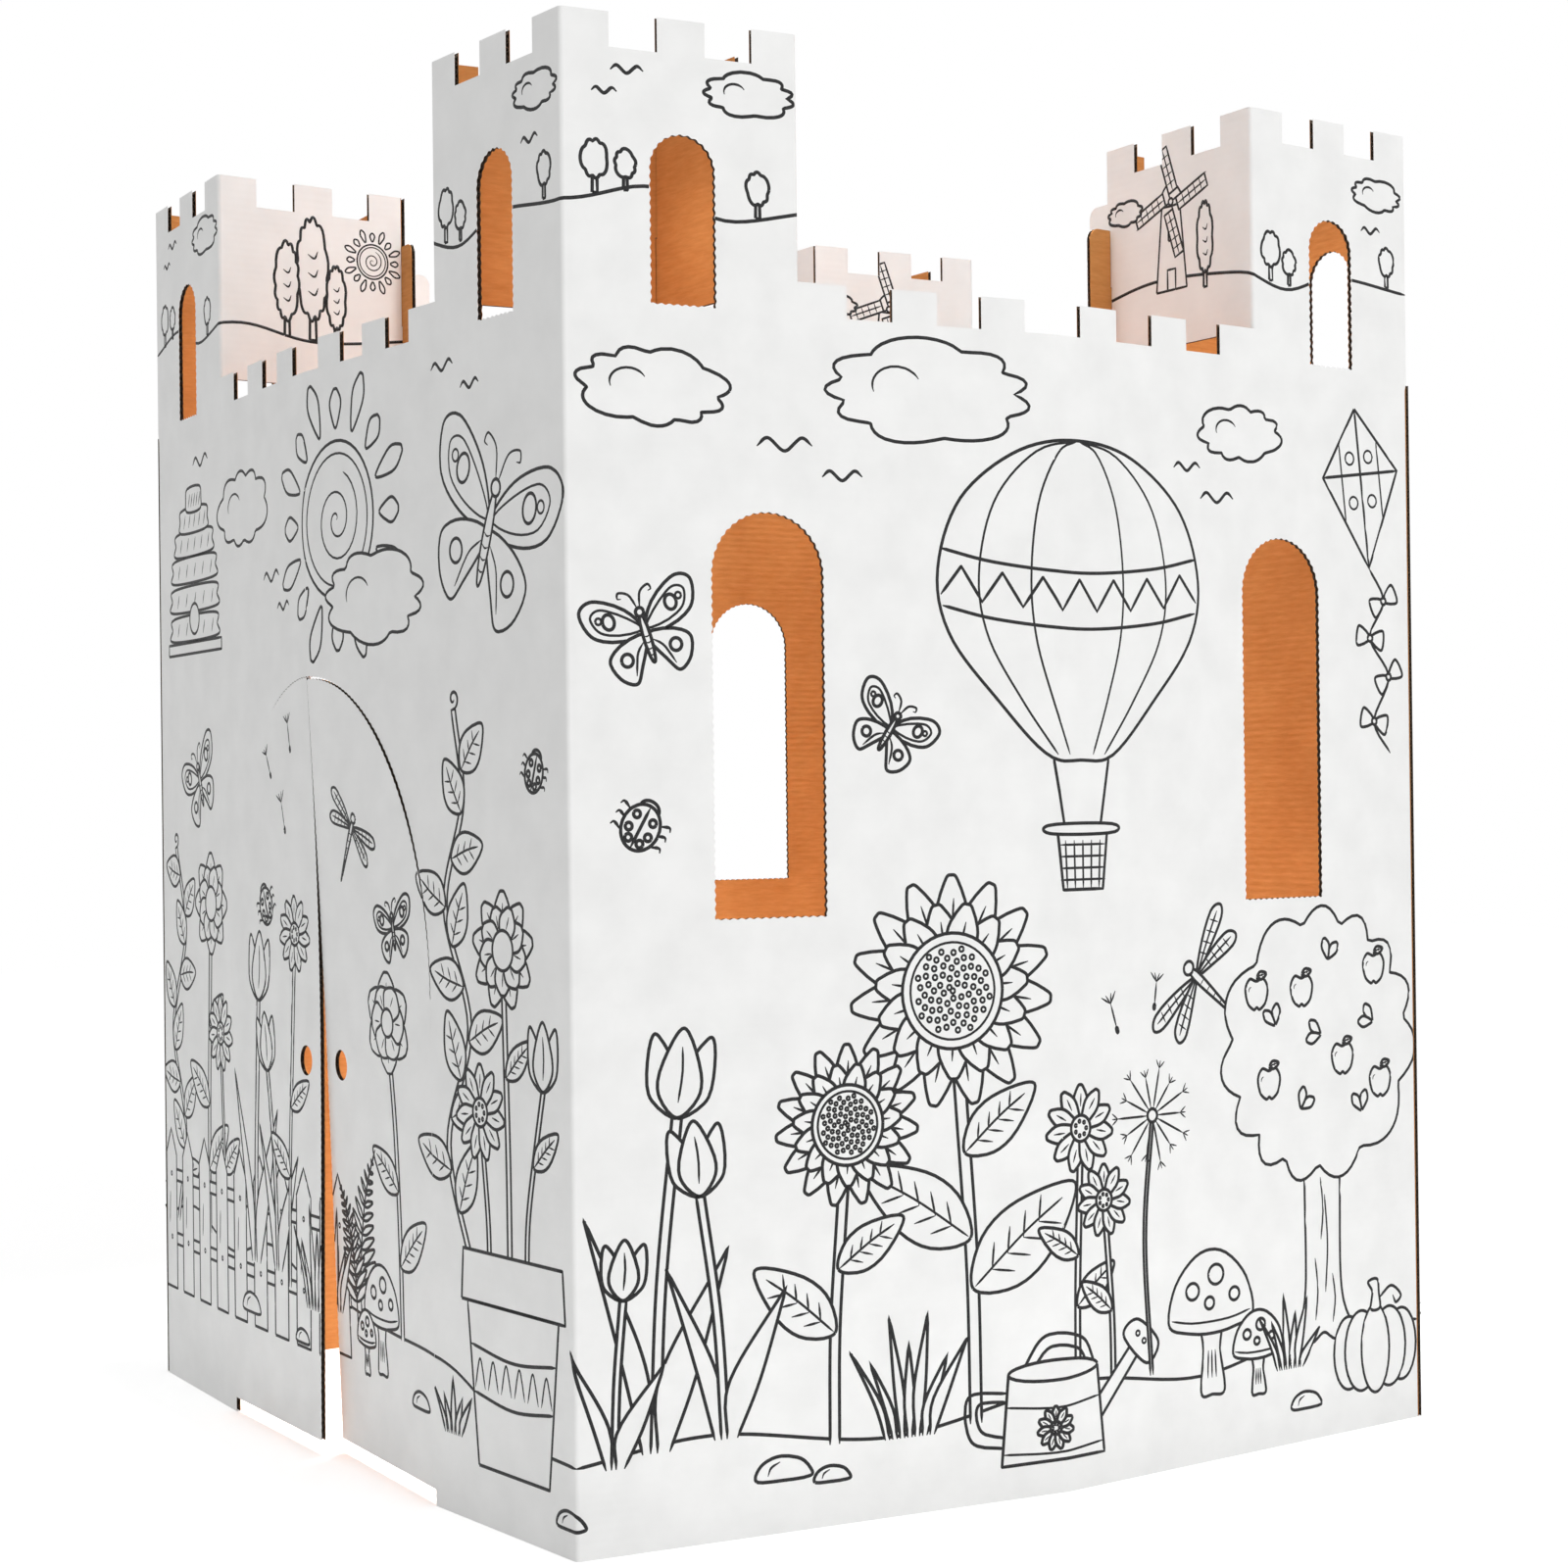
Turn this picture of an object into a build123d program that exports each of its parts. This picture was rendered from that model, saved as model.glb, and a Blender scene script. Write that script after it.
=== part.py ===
from build123d import *
import math
import os

# A child's play castle, folded from two die-cut sheets of corrugated board, in millimetres.
# +Z is up, and the origin is on the floor, at the middle of the castle's footprint.
# The door wall faces -Y and the window wall faces +X. Seen from above and counterclockwise
# the walls are door, window, side and back. Each has a square tower at both of its ends,
# and a shipping crease down its middle, at which it bows outward.
# The front sheet is the door and window walls, with a glue tab at each end.
# The back sheet is the side and back walls, glued on the outside of those tabs.

# Board
board = 4.0
glue_gap = 0.1
fold_radius = 3.5
crease_radius = 1.0
fold_leg = 8.0

# Walls, and the rise of the towers above them
wall_top = 922.0
tower_rise = 183.0
tower_side = 190.5
wall_between = 444.5

# Bow of each half wall, in degrees
door_wall_bow = 3.4
window_wall_bow = 5.2
side_wall_bow = 0.5
back_wall_bow = 4.0

# Battlements: notches as wide as the merlons between them. A tower side has two notches and
# three merlons, and what is left over in the middle of a wall goes to its middle notch.
tower_notch = tower_side / 5.0
tower_notch_depth = 25.4
wall_notch = 39.0
wall_notch_depth = 25.0
least_middle_notch = 20.0

# Arched windows. The drops are below the wall's top: to a wall window's head, and to a tower
# window's sill.
wall_window_width = 92.0
wall_window_height = 298.0
wall_window_drop = 172.0
wall_window_centre = 161.0
tower_window_width = 52.0
tower_window_height = 123.5
tower_window_drop = 24.0
tower_window_centre = tower_side / 2.0

# Double door: a half ellipse over straight leaves, each hinged on a crease.
# A leaf lies in its wall at the top of the arch, and leans inward by an angle at the floor.
door_half_width = 206.4
door_spring = 388.0
door_rise = 257.0
leaf_clearance = 12.7
cut_gap = 1.2
leaf_lap = 2.0
far_leaf_lean = 1.0
near_leaf_lean = 5.5
finger_hole = 25.4
finger_hole_height = 325.0
finger_hole_inset = 30.0

# Tower flaps: cut from the board above the wall, folded in, and crossed by halved slots.
# The tabs' and slots' heights are above the wall's top.
tab_length = 25.4
low_tab_height = 113.0
high_tab_height = 137.0
tab_radius = 10.0
slot_height = 63.0
slot_clearance = 0.4

# Glue tabs, and the relief of the back sheet in the towers where it meets the front sheet.
# The drops are below the wall's top.
glue_tab_width = 38.0
glue_tab_drop = 37.0
glue_tab_chamfer = 12.0
sheet_setback = 1.5
relief_width = 16.0
relief_drop = 32.0

# How far a cutting tool reaches on both sides of the outer face of the board
reach = 3.0 * board

height = wall_top + tower_rise
wall_length = 2.0 * tower_side + wall_between
half_wall = wall_length / 2.0


def unit(vector):
    return vector.normalized()


def outward(direction):
    """The side that faces out, on the right of a wall followed counterclockwise."""
    return Vector(direction.Y, -direction.X)


def meet(point, direction, other_point, other_direction):
    """Where two lines in plan cross."""
    across = outward(other_direction)
    distance = (other_point - point).dot(across) / direction.dot(across)
    return point + direction * distance


def bowed(start, end, bow):
    """The crease in the middle of a wall that bows outward by an angle at each half."""
    rise = half_wall * math.sin(math.radians(bow))
    return (start + end) * 0.5 + outward(unit(end - start)) * rise


def chord(bow):
    return wall_length * math.cos(math.radians(bow))


def far_corner(left, right, left_reach, right_reach):
    """The corner that lies the given distances behind two corners, on the left of left to right."""
    span = (right - left).length
    along = (left_reach**2 - right_reach**2 + span**2) / (2.0 * span)
    offset = math.sqrt(left_reach**2 - along**2)
    direction = unit(right - left)
    return left + direction * along - outward(direction) * offset


def moved_out(points, distance):
    """An open line of plan points moved outward, with mitred corners."""
    directions = [unit(b - a) for a, b in zip(points, points[1:])]
    moved = [points[0] + outward(directions[0]) * distance]
    for point, before, after in zip(points[1:], directions, directions[1:]):
        mitre = (outward(before) + outward(after)) * (distance / (1.0 + before.dot(after)))
        moved.append(point + mitre)
    moved.append(points[-1] + outward(directions[-1]) * distance)
    return moved


def section(points, folds=()):
    """The board cut level. Its outer line follows the plan points, rounded at the named folds."""
    inner = moved_out(points, -board)
    face = make_face(Polyline(*points, *reversed(inner), close=True))
    for index in folds:
        for point, radius in ((points[index], fold_radius), (inner[index], crease_radius)):
            corner = face.vertices().sort_by(lambda v: (Vector(v) - point).length)[0]
            face = fillet(corner, radius)
    return face


def strip(points, bottom, top, folds=()):
    """Upright board along the plan points, between two heights."""
    return Pos(0, 0, bottom) * extrude(section(points, folds), amount=top - bottom)


def panel(origin, direction):
    """A drawing plane on the outer face of a panel: x along it, y up, z outward."""
    return Plane(origin=origin, x_dir=direction, z_dir=outward(direction))


def rectangle(start, end, bottom, top):
    """A rectangle between two distances along a panel and two heights, in either order."""
    middle = ((start + end) / 2.0, (bottom + top) / 2.0)
    return Pos(*middle) * Rectangle(abs(end - start), abs(top - bottom))


def arch(centre, width, sill, rise):
    """A window: a rectangle with a half round top."""
    spring = sill + rise - width / 2.0
    opening = rectangle(centre - width / 2.0, centre + width / 2.0, sill, spring)
    return opening + Pos(centre, spring) * Circle(width / 2.0)


def cutter(plane, drawing, depth=reach):
    return extrude(plane * drawing, amount=depth, both=True)


def plate(plane, drawing):
    return extrude(plane * drawing, amount=-board)


def door_half(side, half_width, rise, bottom, lap):
    """Half of the door from its hinge to its slit at the origin, on one side of it."""
    post = rectangle(0, side * (half_width + lap), bottom, door_spring)
    oval = Pos(0, door_spring) * Ellipse(half_width, rise)
    return post + (oval & rectangle(0, side * half_width, door_spring, door_spring + rise))


def tower_notches(fold_side):
    """The two notches in one side of a tower, by distance from its corner."""
    cuts = [(tower_notch, 2.0 * tower_notch), (3.0 * tower_notch, 4.0 * tower_notch)]
    bottom = height - tower_notch_depth
    return [rectangle(fold_side * a, fold_side * b, bottom, height + reach) for a, b in cuts]


def wall_notches(side):
    """The notches in half of a wall, by distance from its corner, up to the crease."""
    bottom = wall_top - wall_notch_depth
    pair = 2.0 * wall_notch
    pairs = int((wall_between / 2.0 - wall_notch - least_middle_notch / 2.0) / pair)
    ends = [tower_side + pair * (count + 1) for count in range(pairs)]
    cuts = [(end - wall_notch, end) for end in ends]
    cuts.append((tower_side + pair * pairs + wall_notch, half_wall + board))
    return [rectangle(side * a, side * b, bottom, wall_top + reach) for a, b in cuts]


def flap(fold, side, direction, cross, skew, from_above):
    """A tower flap with its tab and slot. It runs from its fold, past the crossing flap."""
    plane = panel(fold, direction)
    end = cross + tab_length
    tab_top = wall_top + (low_tab_height if from_above else high_tab_height)
    slot_middle = wall_top + slot_height
    tab_round = Pos(side * (end - tab_radius), tab_top - tab_radius) * Circle(tab_radius)
    drawing = rectangle(side * fold_leg, side * cross, wall_top, height)
    drawing += rectangle(side * cross, side * end, wall_top, tab_top - tab_radius)
    drawing += rectangle(side * cross, side * (end - tab_radius), tab_top - tab_radius, tab_top)
    drawing += tab_round
    low = cross + min(skew, 0.0) - board / math.sqrt(1.0 - (skew / math.hypot(board, skew))**2)
    high = cross + max(skew, 0.0)
    slot = (side * (low - slot_clearance), side * (high + slot_clearance))
    if from_above:
        drawing -= rectangle(*slot, slot_middle - slot_clearance, height + reach)
    else:
        drawing -= rectangle(*slot, wall_top - reach, slot_middle + slot_clearance)
    return plate(plane, drawing)


class Corner:
    """One tower: its corner point, and the outer lines of the walls before and after it."""

    def __init__(self, before_point, before, after_point, after):
        self.before = before
        self.after = after
        self.before_point = before_point
        self.after_point = after_point
        self.before_fold = before_point - before * tower_side
        self.after_fold = after_point + after * tower_side
        self.cross = meet(self.before_fold, after, self.after_fold, -before)
        cosine = before.dot(after)
        self.skew = board * cosine / math.sqrt(1.0 - cosine**2)

    def before_panel(self):
        return panel(self.before_point, self.before)

    def after_panel(self):
        return panel(self.after_point, self.after)

    def before_side(self):
        """The tower above the wall on the side before the corner, with its flap."""
        reach_in = (self.cross - self.before_fold).length
        points = [self.before_fold + self.after * fold_leg, self.before_fold, self.before_point]
        flap_board = flap(self.before_fold, -1, -self.after, reach_in, self.skew, False)
        return points, flap_board

    def after_side(self):
        """The tower above the wall on the side after the corner, with its flap."""
        reach_in = (self.cross - self.after_fold).length
        points = [self.after_point, self.after_fold, self.after_fold - self.before * fold_leg]
        flap_board = flap(self.after_fold, 1, -self.before, reach_in, self.skew, True)
        return points, flap_board


def battlement_cuts(corner, before, after):
    """Cutting tools for the windows and notches of the panels that meet at a corner."""
    tools = []
    sides = []
    if before:
        sides.append((-1, corner.before_panel(), panel(corner.before_fold, -corner.after), -1))
    if after:
        sides.append((1, corner.after_panel(), panel(corner.after_fold, -corner.before), 1))
    for side, wall_plane, flap_plane, flap_side in sides:
        drawings = tower_notches(side) + wall_notches(side)
        drawings.append(arch(side * tower_window_centre, tower_window_width,
                             wall_top - tower_window_drop, tower_window_height))
        tools += [cutter(wall_plane, drawing) for drawing in drawings]
        tools += [cutter(flap_plane, drawing) for drawing in tower_notches(flap_side)]
    return tools


def wall_window(plane, side):
    sill = wall_top - wall_window_drop - wall_window_height
    drawing = arch(side * wall_window_centre, wall_window_width, sill, wall_window_height)
    return cutter(plane, drawing)


def leaf(wall_direction, side, lean):
    """A door leaf and its crease. The side is 1 after a corner and -1 before one."""
    hinge = door_crease - wall_direction * side * door_half_width
    start = hinge - wall_direction * side * leaf_lap
    sections = []
    for level, angle in ((0.0, lean), (door_spring + door_rise, 0.0)):
        tip = hinge + wall_direction.rotate(Axis.Z, side * angle) * side * door_half_width
        points = [start, hinge, tip] if side > 0 else [tip, hinge, start]
        sections.append(Pos(0, 0, level) * section(points))
    twisted = loft(sections, ruled=True)
    outline = door_half(-side, door_half_width - cut_gap / 2.0, door_rise - cut_gap, leaf_clearance,
                        leaf_lap + cut_gap)
    outline -= rectangle(0, -side * cut_gap / 2.0, 0.0, door_spring + door_rise)
    outline -= Pos(-side * finger_hole_inset, finger_hole_height) * Circle(finger_hole / 2.0)
    return twisted & cutter(panel(door_crease, wall_direction), outline, door_half_width)


# Plan of the walls: the front sheet's outer face, and the outer face of its glue tabs
corner_near = Vector(0, 0)
corner_left = Vector(-chord(door_wall_bow), 0)
corner_right = Vector(0, chord(window_wall_bow))
corner_far = far_corner(corner_left, corner_right, chord(back_wall_bow), chord(side_wall_bow))
door_crease = bowed(corner_left, corner_near, door_wall_bow)
window_crease = bowed(corner_near, corner_right, window_wall_bow)
side_crease = bowed(corner_right, corner_far, side_wall_bow)
back_crease = bowed(corner_far, corner_left, back_wall_bow)

# Plan of the back sheet's outer face, one board outside the glue tabs
back_line = moved_out([corner_right, side_crease, corner_far, back_crease, corner_left],
                      board + glue_gap)
back_right, side_crease_out, back_far, back_crease_out, back_left = back_line

# The directions of the eight half walls, counterclockwise
door_left = unit(door_crease - corner_left)
door_right = unit(corner_near - door_crease)
window_near = unit(window_crease - corner_near)
window_far = unit(corner_right - window_crease)
side_near = unit(side_crease - corner_right)
side_far = unit(corner_far - side_crease)
back_far_half = unit(back_crease - corner_far)
back_near_half = unit(corner_left - back_crease)

left_tower = Corner(back_left, back_near_half, corner_left, door_left)
near_tower = Corner(corner_near, door_right, corner_near, window_near)
right_tower = Corner(corner_right, window_far, back_right, side_near)
far_tower = Corner(back_far, side_far, back_far, back_far_half)


def glue_tab(corner_point, wall_direction, tab_direction, tab_side):
    """The tab at the end of the front sheet, folded inside the back sheet."""
    leg = corner_point + wall_direction * tab_side * fold_leg
    end = corner_point + tab_direction * glue_tab_width
    points = [end, corner_point, leg] if tab_side > 0 else [leg, corner_point, end]
    tab_top = wall_top - glue_tab_drop
    tab = strip(points, 0.0, tab_top, folds=[1])
    plane = panel(end, -tab_direction) if tab_side > 0 else panel(end, tab_direction)
    for level in (0.0, tab_top):
        size = glue_tab_chamfer * math.sqrt(2.0)
        tab -= cutter(plane, Pos(0, level) * Rectangle(size, size, rotation=45))
    return tab


def front_sheet():
    wall = strip([corner_left, door_crease, corner_near, window_crease, corner_right], 0.0, wall_top,
                 folds=[2])
    left_points, left_flap = left_tower.after_side()
    near_before, near_flap_before = near_tower.before_side()
    near_after, near_flap_after = near_tower.after_side()
    right_points, right_flap = right_tower.before_side()
    body = wall + strip(left_points, wall_top, height, folds=[1])
    body += strip(near_before + near_after[1:], wall_top, height, folds=[1, 2, 3])
    body += strip(right_points, wall_top, height, folds=[1])
    body += [left_flap, near_flap_before, near_flap_after, right_flap]
    tools = battlement_cuts(left_tower, False, True)
    tools += battlement_cuts(near_tower, True, True)
    tools += battlement_cuts(right_tower, True, False)
    tools.append(wall_window(near_tower.after_panel(), 1))
    tools.append(wall_window(right_tower.before_panel(), -1))
    for side, direction in ((1, door_left), (-1, door_right)):
        opening = door_half(-side, door_half_width, door_rise, -reach, 0.0)
        opening += rectangle(0, side * board, -reach, door_spring + door_rise)
        tools.append(cutter(panel(door_crease, direction), opening))
    body -= tools
    body += leaf(door_left, 1, far_leaf_lean)
    body += leaf(door_right, -1, near_leaf_lean)
    body += glue_tab(corner_left, door_left, -back_near_half, 1)
    body += glue_tab(corner_right, window_far, side_near, -1)
    return body


def back_sheet():
    start = back_right + side_near * sheet_setback
    end = back_left - back_near_half * sheet_setback
    wall = strip([start, side_crease_out, back_far, back_crease_out, end], 0.0, wall_top, folds=[2])
    right_points, right_flap = right_tower.after_side()
    far_before, far_flap_before = far_tower.before_side()
    far_after, far_flap_after = far_tower.after_side()
    left_points, left_flap = left_tower.before_side()
    body = wall + strip(right_points, wall_top, height, folds=[1])
    body += strip(far_before + far_after[1:], wall_top, height, folds=[1, 2, 3])
    body += strip(left_points, wall_top, height, folds=[1])
    body += [right_flap, far_flap_before, far_flap_after, left_flap]
    tools = battlement_cuts(right_tower, False, True)
    tools += battlement_cuts(far_tower, True, True)
    tools += battlement_cuts(left_tower, True, False)
    tools.append(wall_window(far_tower.after_panel(), 1))
    tools.append(wall_window(left_tower.before_panel(), -1))
    for side, corner in ((1, right_tower.after_panel()), (-1, left_tower.before_panel())):
        relief = rectangle(-side * reach, side * relief_width, wall_top - relief_drop, height + reach)
        tools.append(cutter(corner, relief))
    return body - tools


front = front_sheet().solid()
back = back_sheet().solid()
footprint = front.bounding_box().add(back.bounding_box())
home = Pos(-footprint.center().X, -footprint.center().Y, -footprint.min.Z)

os.makedirs("parts", exist_ok=True)
for name, sheet in (("front_sheet", front), ("back_sheet", back)):
    export_step(home * sheet, f"parts/{name}.step")
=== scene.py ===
import math
from itertools import accumulate

import bpy
import numpy as np
from mathutils import Matrix, Vector
from mathutils.geometry import delaunay_2d_cdt


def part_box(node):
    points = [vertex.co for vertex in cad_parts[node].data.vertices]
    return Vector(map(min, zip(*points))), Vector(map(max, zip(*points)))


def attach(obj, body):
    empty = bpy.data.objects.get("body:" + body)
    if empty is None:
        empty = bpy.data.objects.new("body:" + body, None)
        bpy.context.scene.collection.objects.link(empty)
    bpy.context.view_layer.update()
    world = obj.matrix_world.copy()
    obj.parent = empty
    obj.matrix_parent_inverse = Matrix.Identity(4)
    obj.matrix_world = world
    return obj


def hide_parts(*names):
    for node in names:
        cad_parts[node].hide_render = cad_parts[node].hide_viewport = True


# A child's play castle of corrugated board. Its two die-cut sheets are rebuilt here as the real
# board is made: a white outer liner, a brown inner liner and a fluted sheet between them, with
# black line print on the white. Sizes are in millimetres and are turned to metres in place().

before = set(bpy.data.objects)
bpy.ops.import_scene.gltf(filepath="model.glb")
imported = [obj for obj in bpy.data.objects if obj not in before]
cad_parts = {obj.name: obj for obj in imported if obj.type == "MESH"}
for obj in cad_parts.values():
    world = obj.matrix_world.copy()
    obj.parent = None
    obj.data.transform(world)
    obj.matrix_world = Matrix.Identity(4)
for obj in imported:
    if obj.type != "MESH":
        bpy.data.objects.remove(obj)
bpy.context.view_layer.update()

MM = 0.001

# Board
board = 4.0
liner = 0.4
fluting_paper = 0.25
flute_pitch = 6.5
fold_radius = 3.5
crease_radius = 1.0
glue_gap = 0.1

# Walls and towers
wall_top = 922.0
tower_rise = 183.0
tower_side = 190.5
wall_between = 444.5
height = wall_top + tower_rise
half_wall = tower_side + wall_between / 2.0
wall_length = 2.0 * half_wall

# Bow of each half wall, in degrees
door_wall_bow = 3.4
window_wall_bow = 5.2
side_wall_bow = 0.5
back_wall_bow = 4.0

# Battlements
tower_notch = tower_side / 5.0
tower_notch_depth = 25.4
wall_notch = 39.0
wall_notch_depth = 25.0

# Windows, cut with a wavy rule that leaves a soft edge
wall_window_width = 92.0
wall_window_height = 298.0
wall_window_sill = wall_top - 172.0 - wall_window_height
wall_window_centre = 161.0
tower_window_width = 52.0
tower_window_height = 123.5
tower_window_sill = wall_top - 24.0
tower_window_centre = tower_side / 2.0
wave_pitch = 6.5
wave_height = 0.55
door_wave = 0.3

# Double door
door_half_width = 206.4
door_spring = 388.0
door_rise = 257.0
door_top = door_spring + door_rise
leaf_clearance = 12.7
cut_gap = 1.2
slit_gap = 0.6
far_arch_gap = 0.5
near_arch_gap = 2.0
near_arch_lift = 2.8
far_arch_lift = 1.2
lift_width = 180.0
lift_reach = 120.0
near_leaf_lean = 7.0
near_leaf_bow = 2.2
far_leaf_lean = 1.6
far_leaf_bow = 6.0
bow_rise = 1.4
finger_hole = 25.4
finger_hole_height = 325.0
finger_hole_inset = 30.0

# Tower flaps and their slotted tabs
flap_reach = 230.0
tab_length = 25.4
low_tab_top = wall_top + 113.0
high_tab_top = wall_top + 137.0
tab_radius = 10.0
slot_middle = wall_top + 63.0
slot_clearance = 0.4

# Glue tabs, and the relief of the back sheet beside the towers
glue_tab_width = 38.0
glue_tab_top = wall_top - 37.0
glue_tab_chamfer = 12.0
sheet_setback = 1.5
relief_width = 16.0
relief_bottom = wall_top - 32.0

# A fold eases into the straight board above it over this height
fold_ease = 8.0

# Points along one wave of a cut edge
wave_points = 6

# The pressed lines at creases, in the outer liner
crease_reach = 2.0
crease_dent = 0.18

# Fluting: points to a wave, and how far its paper ends inside a cut edge
flute_points = 6
flute_inset = 0.25

# Print: the white liner's face lies a little in, and the ink stands out of it
ink_depth = 0.14
ink_middle = 0.122
ink_thickness = 0.04
pen_width = 2.7

# A second depth, a hair under the first, tells which way the board faces
probe = 0.001

# A stroke thins to a part of its pen at its ends, over this length
pen_tip = 0.35
pen_taper = 9.0

# Samples along a stroke. One is kept where the stroke has turned this far, in radians, or run this far
print_step = 0.7
print_turn = 0.14
print_reach = 8.0

# Squares that a twisted door leaf is divided into
leaf_cell = 10.0

# Patterns in the papers: fibres, tooth, and the stretches over which flutes show through more or less
fibre_length = 16.67
fibre_width = 2.38
tooth_size = 1.11
tooth_depth = 0.05
ridge_depth = 0.2
sway_size = 111.0

# Studio
floor_size = 14.0
floor_lift = 0.42
sky_level = 0.64


# Plan


def outward(direction):
    """The side that faces out, on the right of a wall followed counterclockwise."""
    return Vector((direction.y, -direction.x))


def turned(vector, angle):
    """A plan vector turned counterclockwise, in radians."""
    sine = math.sin(angle)
    cosine = math.cos(angle)
    return Vector((vector.x * cosine - vector.y * sine, vector.x * sine + vector.y * cosine))


def mitre(before, after):
    """How a corner moves out for each millimetre that its two walls do."""
    return (outward(before) + outward(after)) / (1.0 + before.dot(after))


def meet(point, direction, other_point, other_direction):
    across = outward(other_direction)
    distance = (other_point - point).dot(across) / direction.dot(across)
    return point + direction * distance


def unit(vector):
    return vector.normalized()


def bowed(start, end, bow):
    """Where the crease in the middle of a bowed wall stands."""
    rise = half_wall * math.sin(math.radians(bow))
    return (start + end) * 0.5 + outward(unit(end - start)) * rise


def chord(bow):
    """The straight distance between the corners of a bowed wall."""
    return wall_length * math.cos(math.radians(bow))


def far_corner(left, right, left_reach, right_reach):
    span = (right - left).length
    along = (left_reach**2 - right_reach**2 + span**2) / (2.0 * span)
    offset = math.sqrt(left_reach**2 - along**2)
    direction = unit(right - left)
    return left + direction * along - outward(direction) * offset


def moved_out(points, distance):
    directions = [unit(b - a) for a, b in zip(points, points[1:])]
    moved = [points[0] + outward(directions[0]) * distance]
    for point, before, after in zip(points[1:], directions, directions[1:]):
        moved.append(point + mitre(before, after) * distance)
    moved.append(points[-1] + outward(directions[-1]) * distance)
    return moved


corner_near = Vector((0.0, 0.0))
corner_left = Vector((-chord(door_wall_bow), 0.0))
corner_right = Vector((0.0, chord(window_wall_bow)))
corner_far = far_corner(corner_left, corner_right, chord(back_wall_bow), chord(side_wall_bow))
door_crease = bowed(corner_left, corner_near, door_wall_bow)
window_crease = bowed(corner_near, corner_right, window_wall_bow)
side_crease = bowed(corner_right, corner_far, side_wall_bow)
back_crease = bowed(corner_far, corner_left, back_wall_bow)
back_line = moved_out([corner_right, side_crease, corner_far, back_crease, corner_left],
                      board + glue_gap)
back_right, side_crease_out, back_far, back_crease_out, back_left = back_line

door_left = unit(door_crease - corner_left)
door_right = unit(corner_near - door_crease)
window_near = unit(window_crease - corner_near)
window_far = unit(corner_right - window_crease)
side_near = unit(side_crease - corner_right)
side_far = unit(corner_far - side_crease)
back_far_half = unit(back_crease - corner_far)
back_near_half = unit(corner_left - back_crease)

# The frame's origin is at the middle of the footprint; the plan's is at the near corner.
front_low, front_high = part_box("front_sheet")
home = Vector((front_high.x / MM - window_crease.x, front_low.y / MM - door_crease.y))


def place(plan_point, level):
    """A point of the plan at a height, in the frame, in metres."""
    return ((plan_point.x + home.x) * MM, (plan_point.y + home.y) * MM, level * MM)


# Camera: as the photograph was taken, 2 m from the near corner and low

camera_plan = Vector((1787.5, -948.6))
camera_height = 540.9
camera_yaw = 57.704
camera_pitch = 0.257
camera_roll = -0.681
camera_focal = 65.32
sensor_width = 36.0


def make_camera():
    data = bpy.data.cameras.new("camera")
    data.lens = camera_focal
    data.sensor_width = sensor_width
    data.clip_start = 0.05
    data.clip_end = 60.0
    camera = bpy.data.objects.new("camera", data)
    bpy.context.scene.collection.objects.link(camera)
    turn = Matrix.Rotation(math.radians(camera_yaw), 4, "Z")
    tilt = Matrix.Rotation(math.radians(90.0 + camera_pitch), 4, "X")
    roll = Matrix.Rotation(math.radians(camera_roll), 4, "Z")
    camera.matrix_world = Matrix.Translation(place(camera_plan, camera_height)) @ turn @ tilt @ roll
    bpy.context.scene.camera = camera


make_camera()


# Nodes and materials


def add(tree, kind, settings=None, inputs=None):
    """Adds a node. An input is a plain value, a socket, or a node whose first output is linked to it."""
    made = tree.nodes.new(kind)
    for name, value in (settings or {}).items():
        setattr(made, name, value)
    for name, value in (inputs or {}).items():
        if isinstance(value, bpy.types.Node):
            value = value.outputs[0]
        if isinstance(value, bpy.types.NodeSocket):
            tree.links.new(value, made.inputs[name])
        else:
            made.inputs[name].default_value = value
    return made


def linear(hex_colour):
    """An sRGB hex colour as linear RGBA."""
    channels = [int(hex_colour[i:i + 2], 16) / 255.0 for i in (1, 3, 5)]
    return tuple(c / 12.92 if c <= 0.04045 else ((c + 0.055) / 1.055)**2.4 for c in channels) + (1.0,)


def per(size):
    """A pattern's scale, in cells to a metre, from the size of a cell in millimetres."""
    return 1.0 / (size * MM)


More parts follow.
